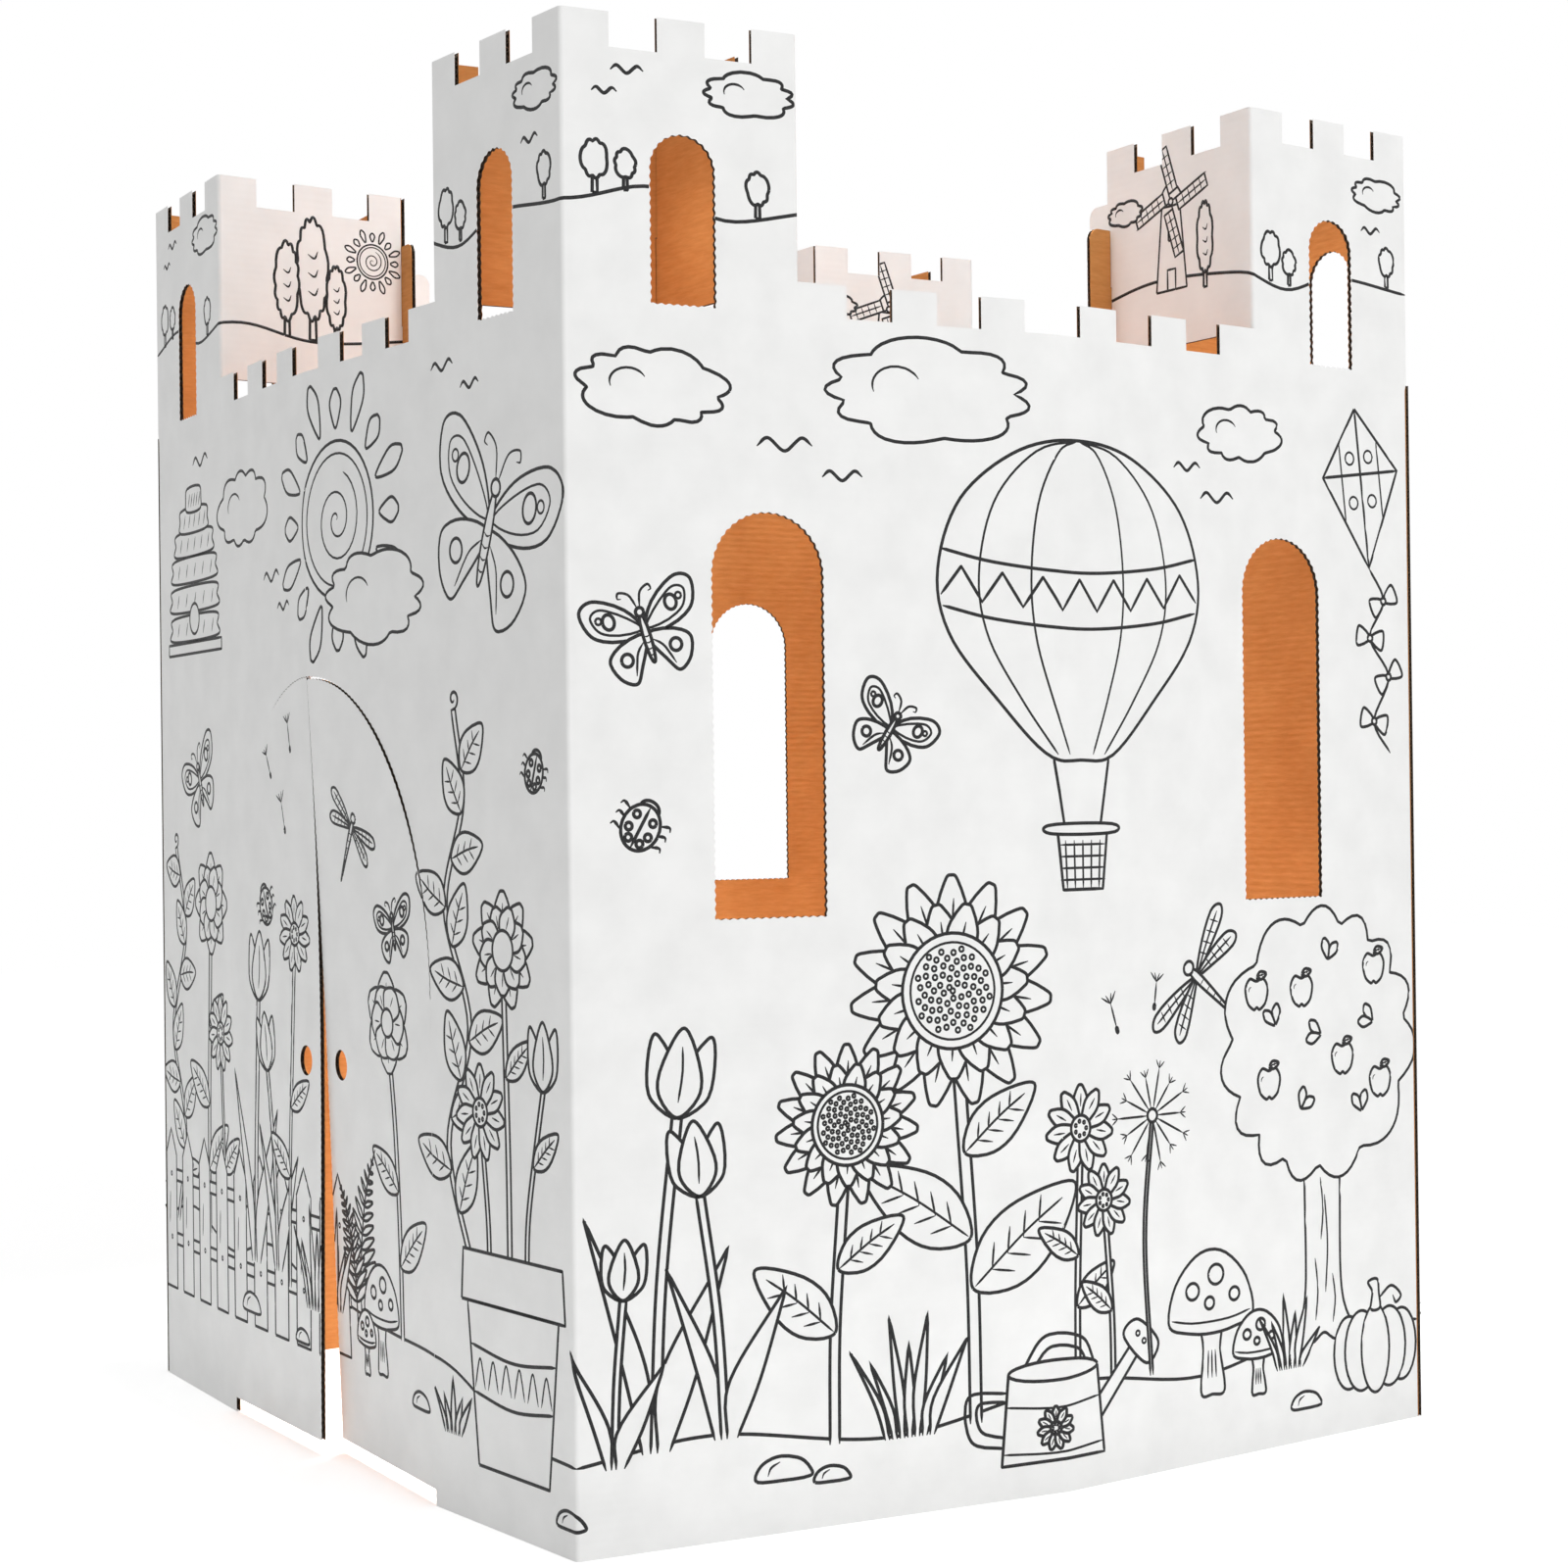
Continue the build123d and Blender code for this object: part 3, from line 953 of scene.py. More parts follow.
def end_tree(tree, geometry, material):
    """Ends a tree in Realize Instances and Set Material."""
    real = add(tree, "GeometryNodeRealizeInstances", inputs={"Geometry": geometry})
    painted = add(tree, "GeometryNodeSetMaterial",
                  inputs={"Geometry": real, "Material": material})
    add(tree, "NodeGroupOutput", inputs={"Geometry": painted})


def grow(piece, tree, values):
    """Puts a tree on a piece, with a value for each named input."""
    modifier = piece.modifiers.new(tree.name, "NODES")
    modifier.node_group = tree
    for item in tree.interface.items_tree:
        if item.in_out == "INPUT" and item.name in values:
            modifier[item.identifier] = values[item.name]


# The fluted sheet between the liners


def flute_rows(patches):
    """The middle surface of the board in level rows, and its outward directions."""
    vertices = []
    faces = []
    ways = []
    step = flute_pitch / flute_points
    for patch in patches:
        bends = patch.path.bends(close=False)
        levels = [point[1] for point in patch.loops[0]]
        before = []
        for row in range(int((max(levels) - min(levels)) / step)):
            level = min(levels) + step * (row + 0.5)
            spans = []
            for left, right in patch.spans(level):
                left += flute_inset
                right -= flute_inset
                places = [left, *(x for x in bends if left < x < right), right]
                spans.append((len(vertices), places))
                vertices += [patch.path.point(x, level, board / 2.0) for x in places]
                ways += [way_out(patch.path, x, level, liner, board / 2.0) for x in places]
            if len(spans) == len(before):
                for (low, below), (high, above) in zip(before, spans):
                    apart = abs(below[0] - above[0]) + abs(below[-1] - above[-1])
                    if len(below) == len(above) and apart < flute_pitch:
                        faces += [(low + i, low + i + 1, high + i + 1, high + i)
                                  for i in range(len(below) - 1)]
            before = spans
    return vertices, faces, ways


def flute_tree():
    """Moves the board's middle surface outward and back in a wave that runs up the sheet."""
    tree, sizes = new_tree("flutes", ("Pitch", "Height"))
    spot = add(tree, "GeometryNodeInputPosition")
    split = add(tree, "ShaderNodeSeparateXYZ", inputs={0: spot})
    waves = add(tree, "ShaderNodeMath", {"operation": "DIVIDE"}, {0: split.outputs["Z"], 1: sizes["Pitch"]})
    angle = add(tree, "ShaderNodeMath", {"operation": "MULTIPLY"}, {0: waves, 1: math.tau})
    wave = add(tree, "ShaderNodeMath", {"operation": "SINE"}, {0: angle})
    half = add(tree, "ShaderNodeMath", {"operation": "MULTIPLY"}, {0: sizes["Height"], 1: 0.5})
    swing = add(tree, "ShaderNodeMath", {"operation": "MULTIPLY"}, {0: wave, 1: half})
    way = add(tree, "GeometryNodeInputNamedAttribute", {"data_type": "FLOAT_VECTOR"}, {"Name": "outward"})
    offset = add(tree, "ShaderNodeVectorMath", {"operation": "SCALE"},
                 {0: way, "Scale": swing})
    waved_sheet = add(tree, "GeometryNodeSetPosition",
                      inputs={"Geometry": sizes["Geometry"], "Offset": offset})
    end_tree(tree, waved_sheet, sizes["Material"])
    return tree


flutes = flute_tree()
for name, sheet_name, patches in (("front", "front", sheets["front"][:1]),
                                  ("door_and_tower", "front", sheets["front"][1:]),
                                  ("back", "back", sheets["back"])):
    vertices, faces, ways = flute_rows(patches)
    piece = new_piece(f"{name}_fluting", vertices, faces)
    give(piece, "outward", "FLOAT_VECTOR", "vector", ways)
    grow(piece, flutes, {"Pitch": flute_pitch * MM, "Material": fluting_with_painted_shade,
                         "Height": (board - 2.0 * liner - fluting_paper) * MM})
    paper = piece.modifiers.new("paper", "SOLIDIFY")
    paper.thickness = fluting_paper * MM
    paper.offset = 0.0
    keep_result(piece)
    hand_over(piece, f"{sheet_name}_sheet")


# The print: a garden, drawn as pen strokes. A stroke is its points in millimetres, whether it
# hides what lies behind it, and its weight. A motif is a list of strokes, from back to front.
# Most motifs are drawn at unit size and then brought to their size.

fine = 0.72


def smooth(points, closed=False, steps=9):
    """Points along a soft line through the given points."""
    given = np.array(points, dtype=float)
    if closed:
        given = np.concatenate([given[-1:], given, given[:2]])
    else:
        given = np.concatenate([2.0 * given[:1] - given[1:2], given, 2.0 * given[-1:] - given[-2:-1]])
    t = np.linspace(0.0, 1.0, steps, endpoint=False)[:, None]
    runs = []
    for a, b, c, d in zip(given, given[1:], given[2:], given[3:]):
        runs.append(0.5 * (2.0 * b + (c - a) * t + (2.0 * a - 5.0 * b + 4.0 * c - d) * t**2
                           + (3.0 * b - a - 3.0 * c + d) * t**3))
    return np.concatenate(runs + [given[-2:-1]])


def line(*points, weight=1.0):
    return [(smooth(points), False, weight)]


def hair(*points):
    """A soft line of the fine pen."""
    return line(*points, weight=fine)


def shape(*points):
    """A soft closed outline that hides what lies behind it."""
    return [(smooth(points, True), True, 1.0)]


def straight(*points):
    """A closed outline with straight sides."""
    return [(np.array([*points, points[0]], dtype=float), True, 1.0)]


def edge(*points, weight=fine):
    """An open line with straight sides."""
    return [(np.array(points, dtype=float), False, weight)]


def block(low, floor, high, top):
    """An upright block, by its half widths at two heights."""
    return straight((-low, floor), (low, floor), (high, top), (-high, top))


def ring(x, y, width, tall=None, start=0.0, end=360.0, weight=1.0):
    """An ellipse, or an open part of one, by its radii."""
    angles = np.radians(np.linspace(start, end, max(8, int(abs(end - start) / 8.0))))
    points = np.stack([x + width * np.cos(angles), y + (tall or width) * np.sin(angles)], axis=1)
    return [(points, abs(end - start) >= 360.0, weight)]


def dot(x, y, radius):
    """A small ring of the fine pen."""
    return ring(x, y, radius, weight=fine)


def polar(reach, angle):
    return reach * math.cos(angle), reach * math.sin(angle)


def drawn(size, *parts):
    """Parts from back to front as one motif, brought to a size, or to a width and a height."""
    return [(points * size, hides, weight) for part in parts for points, hides, weight in part]


def moved(motif, x=0.0, y=0.0, turn=0.0, flip=False):
    """A motif set down at a place, with a turn in degrees, and mirrored if it is flipped."""
    angle = math.radians(turn)
    matrix = np.array([[math.cos(angle), math.sin(angle)], [-math.sin(angle), math.cos(angle)]])
    mirror = (-1.0, 1.0) if flip else (1.0, 1.0)
    return [((points * mirror) @ matrix + (x, y), hides, weight) for points, hides, weight in motif]


def paired(motif):
    """A motif and its mirror image."""
    return motif + moved(motif, flip=True)


def thinner(motif, part):
    """A motif drawn with a thinner pen."""
    return [(points, hides, weight * part) for points, hides, weight in motif]


def heading(points, at):
    """The way a line runs to one of its points, in degrees."""
    way = points[at] - points[at - 1]
    return math.degrees(math.atan2(way[1], way[0]))


def puffy(width, tall, bumps, depth):
    """A closed outline of uneven round bumps, like a cloud or a crown of leaves."""
    t = np.linspace(0.0, 1.0, bumps * 10 + 1)
    bump = t * bumps + 0.35 * np.sin(t * math.tau * 2.0 + width)
    swell = 1.0 + depth * np.abs(np.sin(bump * math.pi))
    points = np.stack([width * swell * np.cos(t * math.tau), tall * swell * np.sin(t * math.tau)], axis=1)
    points[-1] = points[0]
    return [(points, True, 1.0)]


def petal(length, width):
    """A petal that grows up from the zero point."""
    return drawn((width, length), shape((0, 0), (-0.42, 0.4), (-0.5, 0.7), (-0.2, 0.96), (0, 1),
                                        (0.2, 0.96), (0.5, 0.7), (0.42, 0.4)))


def blade(length, width, lean):
    """A long pointed leaf that grows up and leans over."""
    tip = (lean, length)
    left = smooth([(-width * 0.2, 0), (-width * 0.5 + lean * 0.2, length * 0.4), tip])
    right = smooth([(width * 0.2, 0), (width * 0.5 + lean * 0.3, length * 0.4), tip])
    return [(np.concatenate([left, right[::-1]]), True, 1.0)]


def leaf_of(length, width, veins=4):
    """A broad leaf to the right with a midrib and veins."""
    strokes = shape((0, 0), (0.25, 0.42), (0.6, 0.42), (1, 0), (0.6, -0.42), (0.25, -0.42))
    strokes += hair((0.02, 0), (0.5, 0.04), (0.86, 0))
    for i in range(veins):
        x = 0.18 + 0.6 * i / veins
        strokes += hair((x, 0), (x + 0.12, 0.25)) + hair((x, 0), (x + 0.12, -0.25))
    return drawn((length, width), strokes)


def stalk(points, width):
    """A stem of two lines along a soft path."""
    middle = smooth(points)
    way = np.gradient(middle, axis=0)
    way /= np.hypot(*way.T)[:, None]
    across = np.stack([-way[:, 1], way[:, 0]], axis=1) * width / 2.0
    return [(np.concatenate([middle + across, (middle - across)[::-1]]), True, 1.0)]


def cloud(width):
    inner = ring(-0.19, 0.02, 0.14, 0.1, start=25, end=200, weight=fine)
    return puffy(width / 2.0, width * 0.23, 9, 0.2) + drawn(width, inner)


def sun(radius):
    rays = [moved(moved(petal(0.75 if i % 2 else 0.5, 0.3), y=1.16), turn=22.5 * i) for i in range(16)]
    turns = np.linspace(0.0, math.tau * 2.2, 60)
    swirl = np.stack([np.cos(turns), np.sin(turns)], axis=1) * (0.62 * turns / turns[-1])[:, None]
    return drawn(radius, *rays, ring(0, 0, 1), dot(0, 0, 0.84), [(swirl, False, fine)])


def blossom(radius, petals, layers=1, middle=0.34):
    """A flower seen from the front, with rings of petals behind each other."""
    strokes = []
    for layer in range(layers):
        length = 1.0 - 0.24 * layer
        one = petal(length, math.tau * 0.72 / petals) + hair((0, length * 0.5), (length * 0.02, length * 0.8))
        for i in range(petals):
            strokes += moved(one, turn=360.0 * (i + 0.5 * layer) / petals)
    return drawn(radius, strokes, ring(0, 0, middle))


def daisy(radius):
    dots = [dot(*polar(0.17, math.tau * i / 7), 0.035) for i in range(7)]
    return blossom(radius, 11, middle=0.3) + drawn(radius, *dots)


def sunflower(radius):
    golden_angle = 2.39996
    seeds = [dot(*polar(0.38 * math.sqrt(i / 70.0), i * golden_angle), 0.022) for i in range(70)]
    return blossom(radius, 15, 2, 0.5) + drawn(radius, dot(0, 0, 0.42), *seeds)


def standing(flower, tall, lean, leaves, width):
    """A flower on its stem, from the zero point up. A leaf is its part of the stem, its length and side."""
    path = [(0, 0), (lean * 0.1, tall * 0.35), (lean * 0.55, tall * 0.7), (lean, tall)]
    stem = smooth(path)
    strokes = stalk(path, width)
    for i, (part, length, side) in enumerate(leaves):
        green = moved(leaf_of(length, length * 0.5), turn=38.0 - 6.0 * (i % 2))
        strokes += moved(green, *stem[int(part * (len(stem) - 1))], flip=side < 0)
    return strokes + moved(flower, lean, tall)


def tulip(size):
    """A tulip's cup, with its foot at the zero point."""
    outer = shape((0, 0), (-0.42, 0.25), (-0.5, 0.75), (-0.42, 1.1), (-0.15, 0.8), (0, 0.5))
    inner = shape((0, 0), (-0.3, 0.3), (-0.28, 0.7), (0, 1.2), (0.28, 0.7), (0.3, 0.3))
    return drawn(size, paired(outer), inner, hair((0, 0.2), (0.03, 0.6), (0, 0.95)))


def tulip_plant(tall, lean, size):
    strokes = moved(blade(tall * 0.72, size * 0.42, -size * 0.9), x=-size * 0.1)
    strokes += stalk([(0, 0), (lean * 0.3, tall * 0.5), (lean, tall)], size * 0.14)
    strokes += moved(blade(tall * 0.6, size * 0.45, size), x=size * 0.12)
    return strokes + moved(tulip(size), lean, tall, turn=-lean * 0.3)


def butterfly(span):
    """A butterfly from above, its body upright at the zero point."""
    wing = shape((0, 0), (0.12, 0.22), (0.36, 0.36), (0.5, 0.3), (0.45, 0.1), (0.25, 0))
    margin = [(0.02, 0.04), (0.14, 0.17), (0.32, 0.28), (0.42, 0.24), (0.37, 0.11), (0.2, 0.04)]
    wing += [(smooth(margin, True), False, fine)]
    wing += ring(0.28, 0.17, 0.05, 0.06) + dot(0.36, 0.2, 0.025)
    wing += shape((0, -0.02), (0.2, -0.02), (0.36, -0.12), (0.32, -0.28), (0.2, -0.36), (0.12, -0.26))
    wing += ring(0.22, -0.16, 0.05) + hair((0.04, -0.06), (0.12, -0.14), (0.18, -0.3))
    body = ring(0, -0.04, 0.032, 0.2) + ring(0, 0.17, 0.035)
    for y in (-0.02, -0.07, -0.12, -0.17):
        body += hair((-0.025, y), (0, y - 0.01), (0.025, y))
    feeler = hair((0.01, 0.2), (0.05, 0.32), (0.13, 0.36), (0.15, 0.32), (0.12, 0.31))
    return drawn(span, paired(wing), body, paired(feeler))


def dragonfly(span):
    wing = shape((0, 0), (0.4, 0.05), (0.85, 0.06), (1, 0), (0.85, -0.045), (0.4, -0.03))
    wing += hair((0, 0), (0.5, 0.01), (0.9, 0.01))
    for x in (0.3, 0.45, 0.6, 0.75):
        wing += hair((x, 0.045), (x + 0.03, -0.03))
    wings = moved(drawn((0.5, 1), wing), turn=12.0) + moved(drawn((0.44, 1), wing), turn=-16.0)
    body = shape((-0.03, 0), (-0.014, -0.3), (0, -0.52), (0.014, -0.3), (0.03, 0), (0, 0.06))
    for i in range(6):
        body += hair((-0.018, -0.06 - 0.07 * i), (0.018, -0.06 - 0.07 * i))
    return drawn(span, paired(wings), body, ring(0, 0.09, 0.045, 0.04))


def ladybird(size):
    """A ladybird from above, going up."""
    legs = []
    for y in (-0.25, 0.0, 0.22):
        legs += line((0.36, y), (0.56, y + 0.08), (0.62, y))
    spots = []
    for x, y in ((0.2, 0.2), (0.24, -0.1), (0.14, -0.3)):
        spots += paired(ring(x, y, 0.075))
    return drawn(size, paired(legs), ring(0, 0.42, 0.22, 0.16), ring(0, 0, 0.42, 0.48),
                 line((0, 0.44), (0, -0.46)), spots)


def mushroom(width, tall):
    strokes = shape((-0.13, 0), (-0.1, 0.3), (-0.12, 0.52), (0.12, 0.52), (0.1, 0.3), (0.15, 0), (0, -0.02))
    strokes += shape((-0.5, 0.52), (-0.42, 0.8), (-0.15, 1), (0.15, 1), (0.42, 0.8), (0.5, 0.52),
                     (0.25, 0.44), (0, 0.42), (-0.25, 0.44))
    strokes += hair((-0.47, 0.55), (-0.2, 0.51), (0.2, 0.51), (0.47, 0.55))
    for x, y, radius in ((-0.22, 0.74, 0.075), (0.06, 0.84, 0.09), (0.28, 0.68, 0.06), (-0.02, 0.64, 0.055)):
        strokes += ring(x, y, radius, radius * 0.8)
    for x in (-0.05, 0.0, 0.05):
        strokes += hair((x, 0.1), (x * 0.8, 0.3))
    return drawn((width, tall), strokes)


def apple(size):
    strokes = shape((0, 0.42), (0.3, 0.5), (0.5, 0.2), (0.4, -0.25), (0.14, -0.46), (0, -0.4),
                    (-0.14, -0.46), (-0.4, -0.25), (-0.5, 0.2), (-0.3, 0.5))
    strokes += line((0, 0.38), (0.03, 0.55), (0.12, 0.66)) + moved(leaf_of(0.42, 0.26, 2), 0.04, 0.56, 12)
    return drawn(size, strokes, ring(-0.22, 0.12, 0.13, start=100, end=190, weight=fine))


def tree(width, tall):
    """An apple tree with its foot at the zero point."""
    trunk = shape((-1.7, 0), (-0.9, 0.12), (-0.75, 0.5), (0.75, 0.5), (0.9, 0.12), (1.9, 0),
                  (0.6, 0.01), (0, 0.03), (-0.6, 0.01))
    for x, low, high in ((-0.4, 0.06, 0.2), (0.1, 0.12, 0.34), (0.45, 0.05, 0.16), (-0.1, 0.24, 0.38)):
        trunk += hair((x, low), (x + 0.12, (low + high) / 2), (x, high))
    strokes = drawn((width * 0.1, tall), trunk)
    strokes += moved(puffy(width * 0.42, tall * 0.27, 13, 0.15), 0, tall * 0.68)
    for x, y, way in ((-0.22, 0.73, 20), (0.04, 0.87, -15), (0.26, 0.72, 60), (-0.1, 0.54, -40),
                      (0.2, 0.52, 10), (0.0, 0.7, 75)):
        for turn in (-28, 28):
            strokes += moved(petal(width * 0.07, width * 0.036), width * x, tall * y, way + turn)
    for x, y in ((-0.28, 0.6), (-0.1, 0.8), (0.12, 0.64), (0.3, 0.84), (0.33, 0.58), (-0.34, 0.8)):
        strokes += moved(apple(width * 0.105), width * x * 0.9, tall * y)
    return strokes


def kite(size):
    """A kite with its head up, and its tail running down in bows."""
    tail = [(0, -0.6), (0.12, -0.85), (-0.06, -1.1), (0.1, -1.4), (-0.1, -1.7), (0.04, -1.95)]
    bow = paired(shape((0, 0), (0.13, 0.07), (0.13, -0.07))) + ring(0, 0, 0.025)
    strokes = line(*tail)
    for spot, turn in zip(tail[1:-1], (20, -15, 25, -20)):
        strokes += moved(bow, *spot, turn)
    strokes += straight((0, 0.55), (0.4, 0.08), (0, -0.6), (-0.4, 0.08))
    strokes += edge((0, 0.55), (0, -0.6), weight=1.0) + edge((-0.4, 0.08), (0.4, 0.08), weight=1.0)
    for x in (-0.2, 0.2):
        strokes += edge((x, 0.315), (x, -0.26))
    for y in (0.2, -0.12):
        strokes += dot(-0.1, y, 0.045) + dot(0.1, y, 0.045)
    return drawn(size, strokes)


def balloon(width, tall):
    """A hot-air balloon with its basket's floor at the zero point."""
    strokes = edge((-0.07, 0.13), (-0.112, 0.3), weight=1.0) + edge((0.07, 0.13), (0.112, 0.3), weight=1.0)
    strokes += block(0.1, 0.13, 0.08, 0)
    for i in range(4):
        strokes += edge((-0.09, 0.022 + 0.026 * i), (0.09, 0.022 + 0.026 * i))
    for i in range(5):
        x = -0.064 + 0.032 * i
        strokes += edge((x, 0), (x * 1.1, 0.11))
    strokes += shape((-0.12, 0.125), (0.12, 0.125), (0.12, 0.145), (-0.12, 0.145))
    right = [(0.13, 0.3), (0.3, 0.42), (0.46, 0.56), (0.5, 0.7), (0.42, 0.86), (0.22, 0.97)]
    left = [(-x, y) for x, y in reversed(right)]
    strokes += shape(*right, (0, 1), *left, (0, 0.288))
    for part in (0.36, -0.36, 0.72, -0.72):
        strokes += hair(*((part * x, y) for x, y in right), (0, 1))
    zigzag = []
    for i in range(15):
        x = -0.49 + 0.07 * i
        zigzag.append((x, 0.685 + (0.035 if i % 2 else -0.035) - 0.03 * (1.0 - 4.0 * x * x)))
    strokes += edge(*zigzag, weight=1.0)
    for level, bulge in ((0.75, 0.492), (0.625, 0.485)):
        strokes += line(*((bulge * s, level - 0.045 * (1.0 - s * s)) for s in (-1, -0.6, 0, 0.6, 1)))
    return drawn((width, tall), strokes)


def grass(width, tall, count):
    strokes = []
    for i in range(count):
        part = i / (count - 1) - 0.5
        length = tall * (1.0 - 1.1 * part * part - (0.25 if i % 2 else 0.0))
        strokes += moved(blade(length, width * 0.9 / count, part * width * 0.9), x=part * width * 0.55)
    return strokes


def stone(width):
    return drawn(width, shape((-0.5, 0), (-0.42, 0.24), (-0.1, 0.36), (0.3, 0.28), (0.5, 0.05),
                              (0.4, -0.02), (0, -0.03)), hair((-0.3, 0.06), (-0.24, 0.19), (-0.08, 0.27)))


def fence(count, tall):
    """Pickets with pointed heads on two rails, from the zero point to the right."""
    end = 0.34 * (count - 0.3)
    rails = [straight((-0.17, y), (end, y), (end, y + 0.07), (-0.17, y + 0.07)) for y in (0.28, 0.68)]
    wide = 0.2108
    picket = straight((0, 0), (0, 0.84), (wide / 2, 1), (wide, 0.84), (wide, 0)) + dot(wide / 2, 0.315, 0.012)
    picket += dot(wide / 2, 0.715, 0.012) + hair((wide * 0.3, 0.4), (wide * 0.36, 0.6))
    return drawn(tall, *rails, *(moved(picket, 0.34 * i) for i in range(count)))


def watering_can(size):
    strokes = line((-0.4, 0.5), (-0.72, 0.5), (-0.7, 0.2), (-0.42, 0.12))
    strokes += line((-0.4, 0.44), (-0.64, 0.44), (-0.62, 0.26), (-0.41, 0.19))
    strokes += straight((0.3, 0.14), (0.78, 0.66), (0.7, 0.72), (0.3, 0.32))
    strokes += shape((0.62, 0.78), (0.84, 0.56), (0.96, 0.7), (0.76, 0.88))
    strokes += dot(0.76, 0.78, 0.018) + dot(0.82, 0.72, 0.018) + dot(0.88, 0.66, 0.018)
    strokes += line((-0.3, 0.62), (-0.1, 0.86), (0.22, 0.82), (0.34, 0.62))
    strokes += line((-0.22, 0.62), (-0.06, 0.78), (0.18, 0.75), (0.27, 0.62))
    strokes += straight((-0.4, 0.62), (0.36, 0.62), (0.42, 0), (-0.46, 0)) + ring(-0.02, 0.62, 0.38, 0.07)
    strokes += hair((-0.45, 0.08), (0, 0.05), (0.41, 0.08)) + hair((-0.43, 0.4), (0, 0.36), (0.38, 0.4))
    return drawn(size, strokes, moved(daisy(0.15), -0.02, 0.22))


def flower_pot(width, tall):
    """A clay pot with a patterned band, its floor at the zero point."""
    strokes = block(0.34, 0, 0.44, 0.76) + block(0.5, 0.76, 0.48, 1)
    strokes += line((-0.385, 0.34), (0, 0.3), (0.385, 0.34)) + line((-0.41, 0.56), (0, 0.52), (0.41, 0.56))
    for i in range(6):
        x = -0.32 + 0.128 * i
        strokes += hair((x - 0.05, 0.36), (x, 0.5), (x + 0.05, 0.36))
    return drawn((width, tall), strokes)


def pumpkin(width):
    strokes = []
    for x, wide in ((-0.32, 0.18), (0.32, 0.18), (-0.17, 0.2), (0.17, 0.2), (0.0, 0.17)):
        strokes += ring(x, 0.48, wide, 0.5 - abs(x) * 0.28)
    strokes += shape((-0.05, 0.93), (-0.03, 1.12), (-0.08, 1.24), (0.03, 1.26), (0.05, 1.1), (0.06, 0.93))
    strokes += line((0.05, 1.04), (0.2, 1.16), (0.32, 1.04), (0.26, 0.96), (0.22, 1.05))
    return drawn((width, width * 0.72), strokes)


def gull(size):
    return drawn(size, line((-0.5, 0.06), (-0.3, 0.2), (0, 0), (0.3, 0.22), (0.5, 0.1)))


def climber(points, width, leaf_size, gap):
    """A climbing stem with leaves on both sides and a curled end."""
    strokes = stalk(points, width)
    middle = smooth(points)
    along = lengths_along(middle)
    for i, reach in enumerate(np.arange(gap, along[-1] - gap * 0.5, gap)):
        at = int(np.searchsorted(along, reach))
        green = leaf_of(leaf_size * (1.0 - 0.25 * reach / along[-1]), leaf_size * 0.55, 3)
        strokes += moved(green, *middle[at], heading(middle, at) + (52.0 if i % 2 else -52.0))
    turns = np.linspace(0.0, math.tau * 1.2, 24)
    closing = 1.0 - turns / 9.0
    curl = np.stack([closing * np.sin(turns), 1.0 - np.cos(turns) * closing], axis=1)
    return strokes + [(middle[-1] + gap * 0.22 * curl, False, 1.0)]


def fern(length, bend):
    """A fern's frond from the zero point up, bent to one side."""
    middle = smooth([(0, 0), (bend * 0.1, length * 0.4), (bend * 0.45, length * 0.75), (bend, length)])
    leaflet = shape((0, 0), (0.4, 0.14), (1, 0), (0.4, -0.12))
    strokes = []
    for part in [i / 12 for i in range(12, 1, -1)]:
        at = int(len(middle) * (0.08 + 0.88 * part)) - 2
        for side in (58.0, -58.0):
            green = drawn(length * 0.3 * (1.08 - part), leaflet)
            strokes += moved(green, *middle[at], heading(middle, at) + side)
    return strokes + [(middle, False, 1.0)]


def bunting(points, count, size):
    """Pennants on a cord between points."""
    cord = smooth(points)
    length = lengths_along(cord)[-1]
    strokes = []
    for i in range(count):
        left, middle, right = points_at(cord, length * (i + np.array([0.12, 0.5, 0.88])) / count)
        tip = middle + (0.0, -size)
        strokes += straight(left, right, tip)
        if i % 3 == 0:
            strokes += dot(*(middle * 0.6 + tip * 0.4), size * 0.14)
        elif i % 3 == 1:
            for part in (0.3, 0.6):
                strokes += edge(left * (1.0 - part) + tip * part, right * (1.0 - part) + tip * part)
        else:
            strokes += edge((left + middle) / 2.0, tip, (middle + right) / 2.0)
    return strokes + [(cord, False, 1.0)]


def seed_head(radius):
    """A dandelion clock."""
    strokes = []
    for i in range(14):
        way = np.array(polar(1.0, math.tau * i / 14))
        across = np.array([-way[1], way[0]])
        tip = way * (1.0 if i % 2 else 0.82)
        strokes += edge(way * 0.16, tip)
        for side in (-0.12, 0.0, 0.12):
            strokes += edge(tip, tip + way * 0.16 + across * side)
    return drawn(radius, strokes, ring(0, 0, 0.14))


def seed(size):
    """A dandelion seed that drifts."""
    plume = [edge((0, 1), (x, 1.4)) for x in (-0.4, -0.15, 0.15, 0.4)]
    return drawn(size, edge((0, 0), (0, 1)), ring(0, -0.1, 0.05, 0.12), *plume)


def beehive(width):
    """A straw beehive on its board."""
    coils = []
    for level, half in ((0.0, 0.5), (0.2, 0.5), (0.4, 0.47), (0.58, 0.4), (0.74, 0.29), (0.88, 0.15)):
        low, middle, high = level + 0.02, level + 0.1, level + 0.18
        coils += shape((-half, low), (-half - 0.03, middle), (-half * 0.94, high), (half * 0.94, high),
                       (half + 0.03, middle), (half, low))
        for i in range(5):
            x = half * (-0.8 + 0.4 * i)
            coils += hair((x, level + 0.05), (x + 0.04, level + 0.14))
    return drawn(width, block(0.62, -0.08, 0.62, 0), drawn((1, 1.05), coils), ring(0, 0.168, 0.11))


